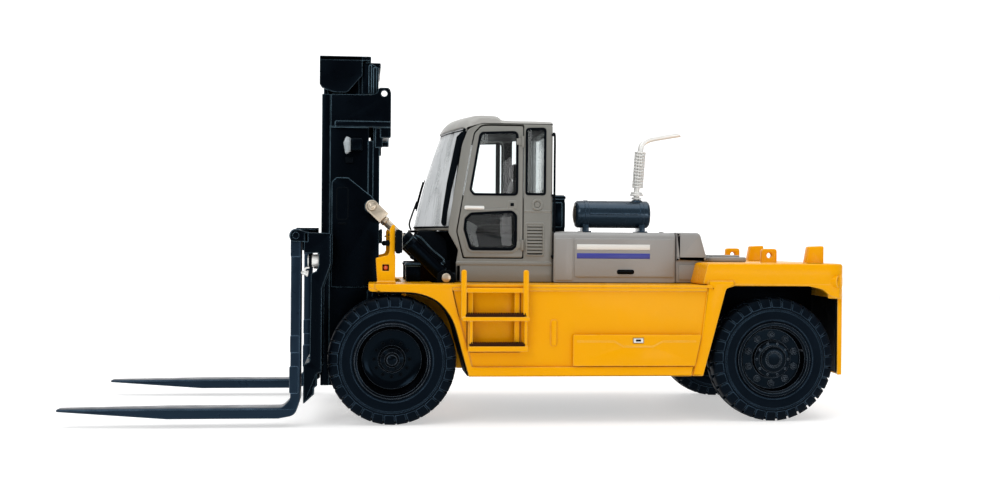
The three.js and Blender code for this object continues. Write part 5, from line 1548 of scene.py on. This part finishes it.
@sided(STEEL, "tilt_rod_{}", body="tilt_rod_{}")
def tilt_ram(part):
    part.rod(along_tilt(9), along_tilt(TILT_LENGTH - 3.0), 0.72)
    # clevis: two rounded cheeks joined by a block
    radius = 1.75
    heading = math.atan2(TILT_AXIS.z, TILT_AXIS.x)
    cheek = []
    for i in range(13):
        turn = heading - math.pi / 2 + math.pi * i / 12
        cheek.append((TILT_X + radius * math.cos(turn), TILT_Z + radius * math.sin(turn)))
    across = Vector((math.cos(heading + math.pi / 2), math.sin(heading + math.pi / 2)))
    along = Vector((TILT_AXIS.x, TILT_AXIS.z))
    pin = Vector((TILT_X, TILT_Z))
    back = pin - along * 4.7
    cheek += [tuple(back + across * radius), tuple(back - across * radius)]
    for y0, y1 in ((-22.75, -21.55), (-20.45, -19.25)):
        part.plate(cheek, y0, y1, holes=[circle(TILT_X, TILT_Z, 1.1, 24)], bevel=0.14)
    front, rear, side = pin - along * 2.7, back + along * 0.3, across * 1.7
    part.plate([front + side, front - side, rear - side, rear + side], -22.4, -19.6, bevel=0.3)
    part.rod(along_tilt(TILT_LENGTH - 5.9), along_tilt(TILT_LENGTH - 4.8), 1.0, 6, 0.1)


@sided(STEEL, body="outer_mast")
def tilt_pin_cap(part):
    part.rod((TILT_X, -22.9, TILT_Z), (TILT_X, -23.4, TILT_Z), 1.15, 24)
    part.stud((TILT_X, -23.35, TILT_Z), LEFTWARD, 0.6, 0.4, 0.12, 0.2, 16)


@sided(STEEL, "tilt_pin_{}")
def tilt_base_pin(part):
    part.rod((BASE_X, -24.9, BASE_Z), (BASE_X, -17.3, BASE_Z), 0.85)
    part.rod((BASE_X, -25.3, BASE_Z), (BASE_X, -24.6, BASE_Z), 1.25, 24)


both(tilt_barrel, tilt_ram, tilt_pin_cap, tilt_base_pin)

# ------------------------------------------------------------------ CAD parts that stay
for node in ("front_axle", "rear_axle", "tie_rod", "tilt_cross_member",
             "steering_knuckle_left", "steering_knuckle_right"):
    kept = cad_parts[node]
    kept.data.materials.clear()
    kept.data.materials.append(PLASTIC)
    weld = kept.modifiers.new("weld", "WELD")
    weld.merge_threshold = 1e-6
    rounding = kept.modifiers.new("round", "BEVEL")
    rounding.width = 0.15 * MM
    rounding.segments = 2
    rounding.limit_method = "ANGLE"
    rounding.angle_limit = math.radians(50)


# ------------------------------------------------------------------ floor, light and camera
# From here on, places and sizes are in metres.
def make_floor():
    """A pale floor that sweeps up into a wall at the far, +Y side."""
    pale = bpy.data.materials.new("pale_floor")
    pale.use_nodes = True
    inputs = pale.node_tree.nodes["Principled BSDF"].inputs
    inputs["Base Color"].default_value = (0.62, 0.62, 0.62, 1)
    inputs["Roughness"].default_value = 0.6
    inputs["Specular IOR Level"].default_value = 0.2
    inputs["Emission Color"].default_value = (1, 1, 1, 1)
    inputs["Emission Strength"].default_value = 0.5
    bend_y, radius, half_width = 1.2, 1.0, 4.0
    turns = [math.pi / 2 * i / 12 for i in range(1, 13)]
    curve = [(-2.5, 0.0), (bend_y, 0.0)]
    curve += [(bend_y + radius * math.sin(turn), radius - radius * math.cos(turn))
              for turn in turns]
    curve += [(bend_y + radius, 4.0)]
    mesh = bmesh.new()
    rows = [[mesh.verts.new((x, y, z)) for x in (-half_width, half_width)] for y, z in curve]
    for a, b in zip(rows, rows[1:]):
        mesh.faces.new((a[0], a[1], b[1], b[0]))
    data = bpy.data.meshes.new("floor")
    mesh.to_mesh(data)
    mesh.free()
    data.shade_smooth()
    floor = bpy.data.objects.new("floor", data)
    data.materials.append(pale)
    bpy.context.scene.collection.objects.link(floor)


def make_world():
    """White all round, brighter to the camera than to the model."""
    world = bpy.data.worlds.new("studio")
    bpy.context.scene.world = world
    world.use_nodes = True
    tree = world.node_tree
    path = tree.nodes.new("ShaderNodeLightPath")
    strength = tree.nodes.new("ShaderNodeMapRange")
    strength.inputs["To Min"].default_value = 0.42
    strength.inputs["To Max"].default_value = 1.3
    tree.links.new(path.outputs["Is Camera Ray"], strength.inputs["Value"])
    background = tree.nodes["Background"]
    background.inputs[0].default_value = (1, 1, 1, 1)
    tree.links.new(strength.outputs[0], background.inputs[1])


def area(name, at, target, size, watts):
    light = bpy.data.lights.new(name, "AREA")
    light.shape = "RECTANGLE"
    light.size, light.size_y = size
    light.energy = watts
    lamp = bpy.data.objects.new(name, light)
    lamp.location = at
    lamp.rotation_euler = (Vector(target) - Vector(at)).to_track_quat("-Z", "Y").to_euler()
    bpy.context.scene.collection.objects.link(lamp)


def make_camera():
    camera = bpy.data.cameras.new("camera")
    camera.sensor_width = 36
    camera.lens = 46.318824
    camera.clip_start = 0.01
    holder = bpy.data.objects.new("camera", camera)
    yaw, pitch, roll = (math.radians(angle) for angle in (-5.9358, -0.2435, -0.4255))
    turn = (Matrix.Rotation(yaw, 3, "Z") @ Matrix.Rotation(pitch, 3, "X")
            @ Matrix.Rotation(roll, 3, "Y"))
    # the camera looks along its own -Z
    facing = Matrix((turn.col[0], turn.col[2], -turn.col[1])).transposed()
    place = Vector((-7.026 + FRAME_X, -378.086, 48.142)) * MM
    holder.matrix_world = Matrix.Translation(place) @ facing.to_4x4()
    bpy.context.scene.collection.objects.link(holder)
    bpy.context.scene.camera = holder


make_floor()
make_world()
area("top_softbox", at=(0.0, -0.10, 0.75), target=(0, 0, 0), size=(1.1, 0.8), watts=5.6)
area("key_front", at=(-0.45, -0.75, 0.50), target=(0, 0, 0.04), size=(0.4, 0.4), watts=2.0)
area("card_right", at=(0.33, -0.62, 0.05), target=(0.08, 0, 0.03), size=(0.30, 0.16), watts=0.55)
area("backdrop", at=(0.0, 0.9, 0.7), target=(0, 2.2, 0.6), size=(2.0, 0.6), watts=14)
make_camera()
bpy.context.scene.view_settings.view_transform = "Standard"

bpy.context.view_layer.update()
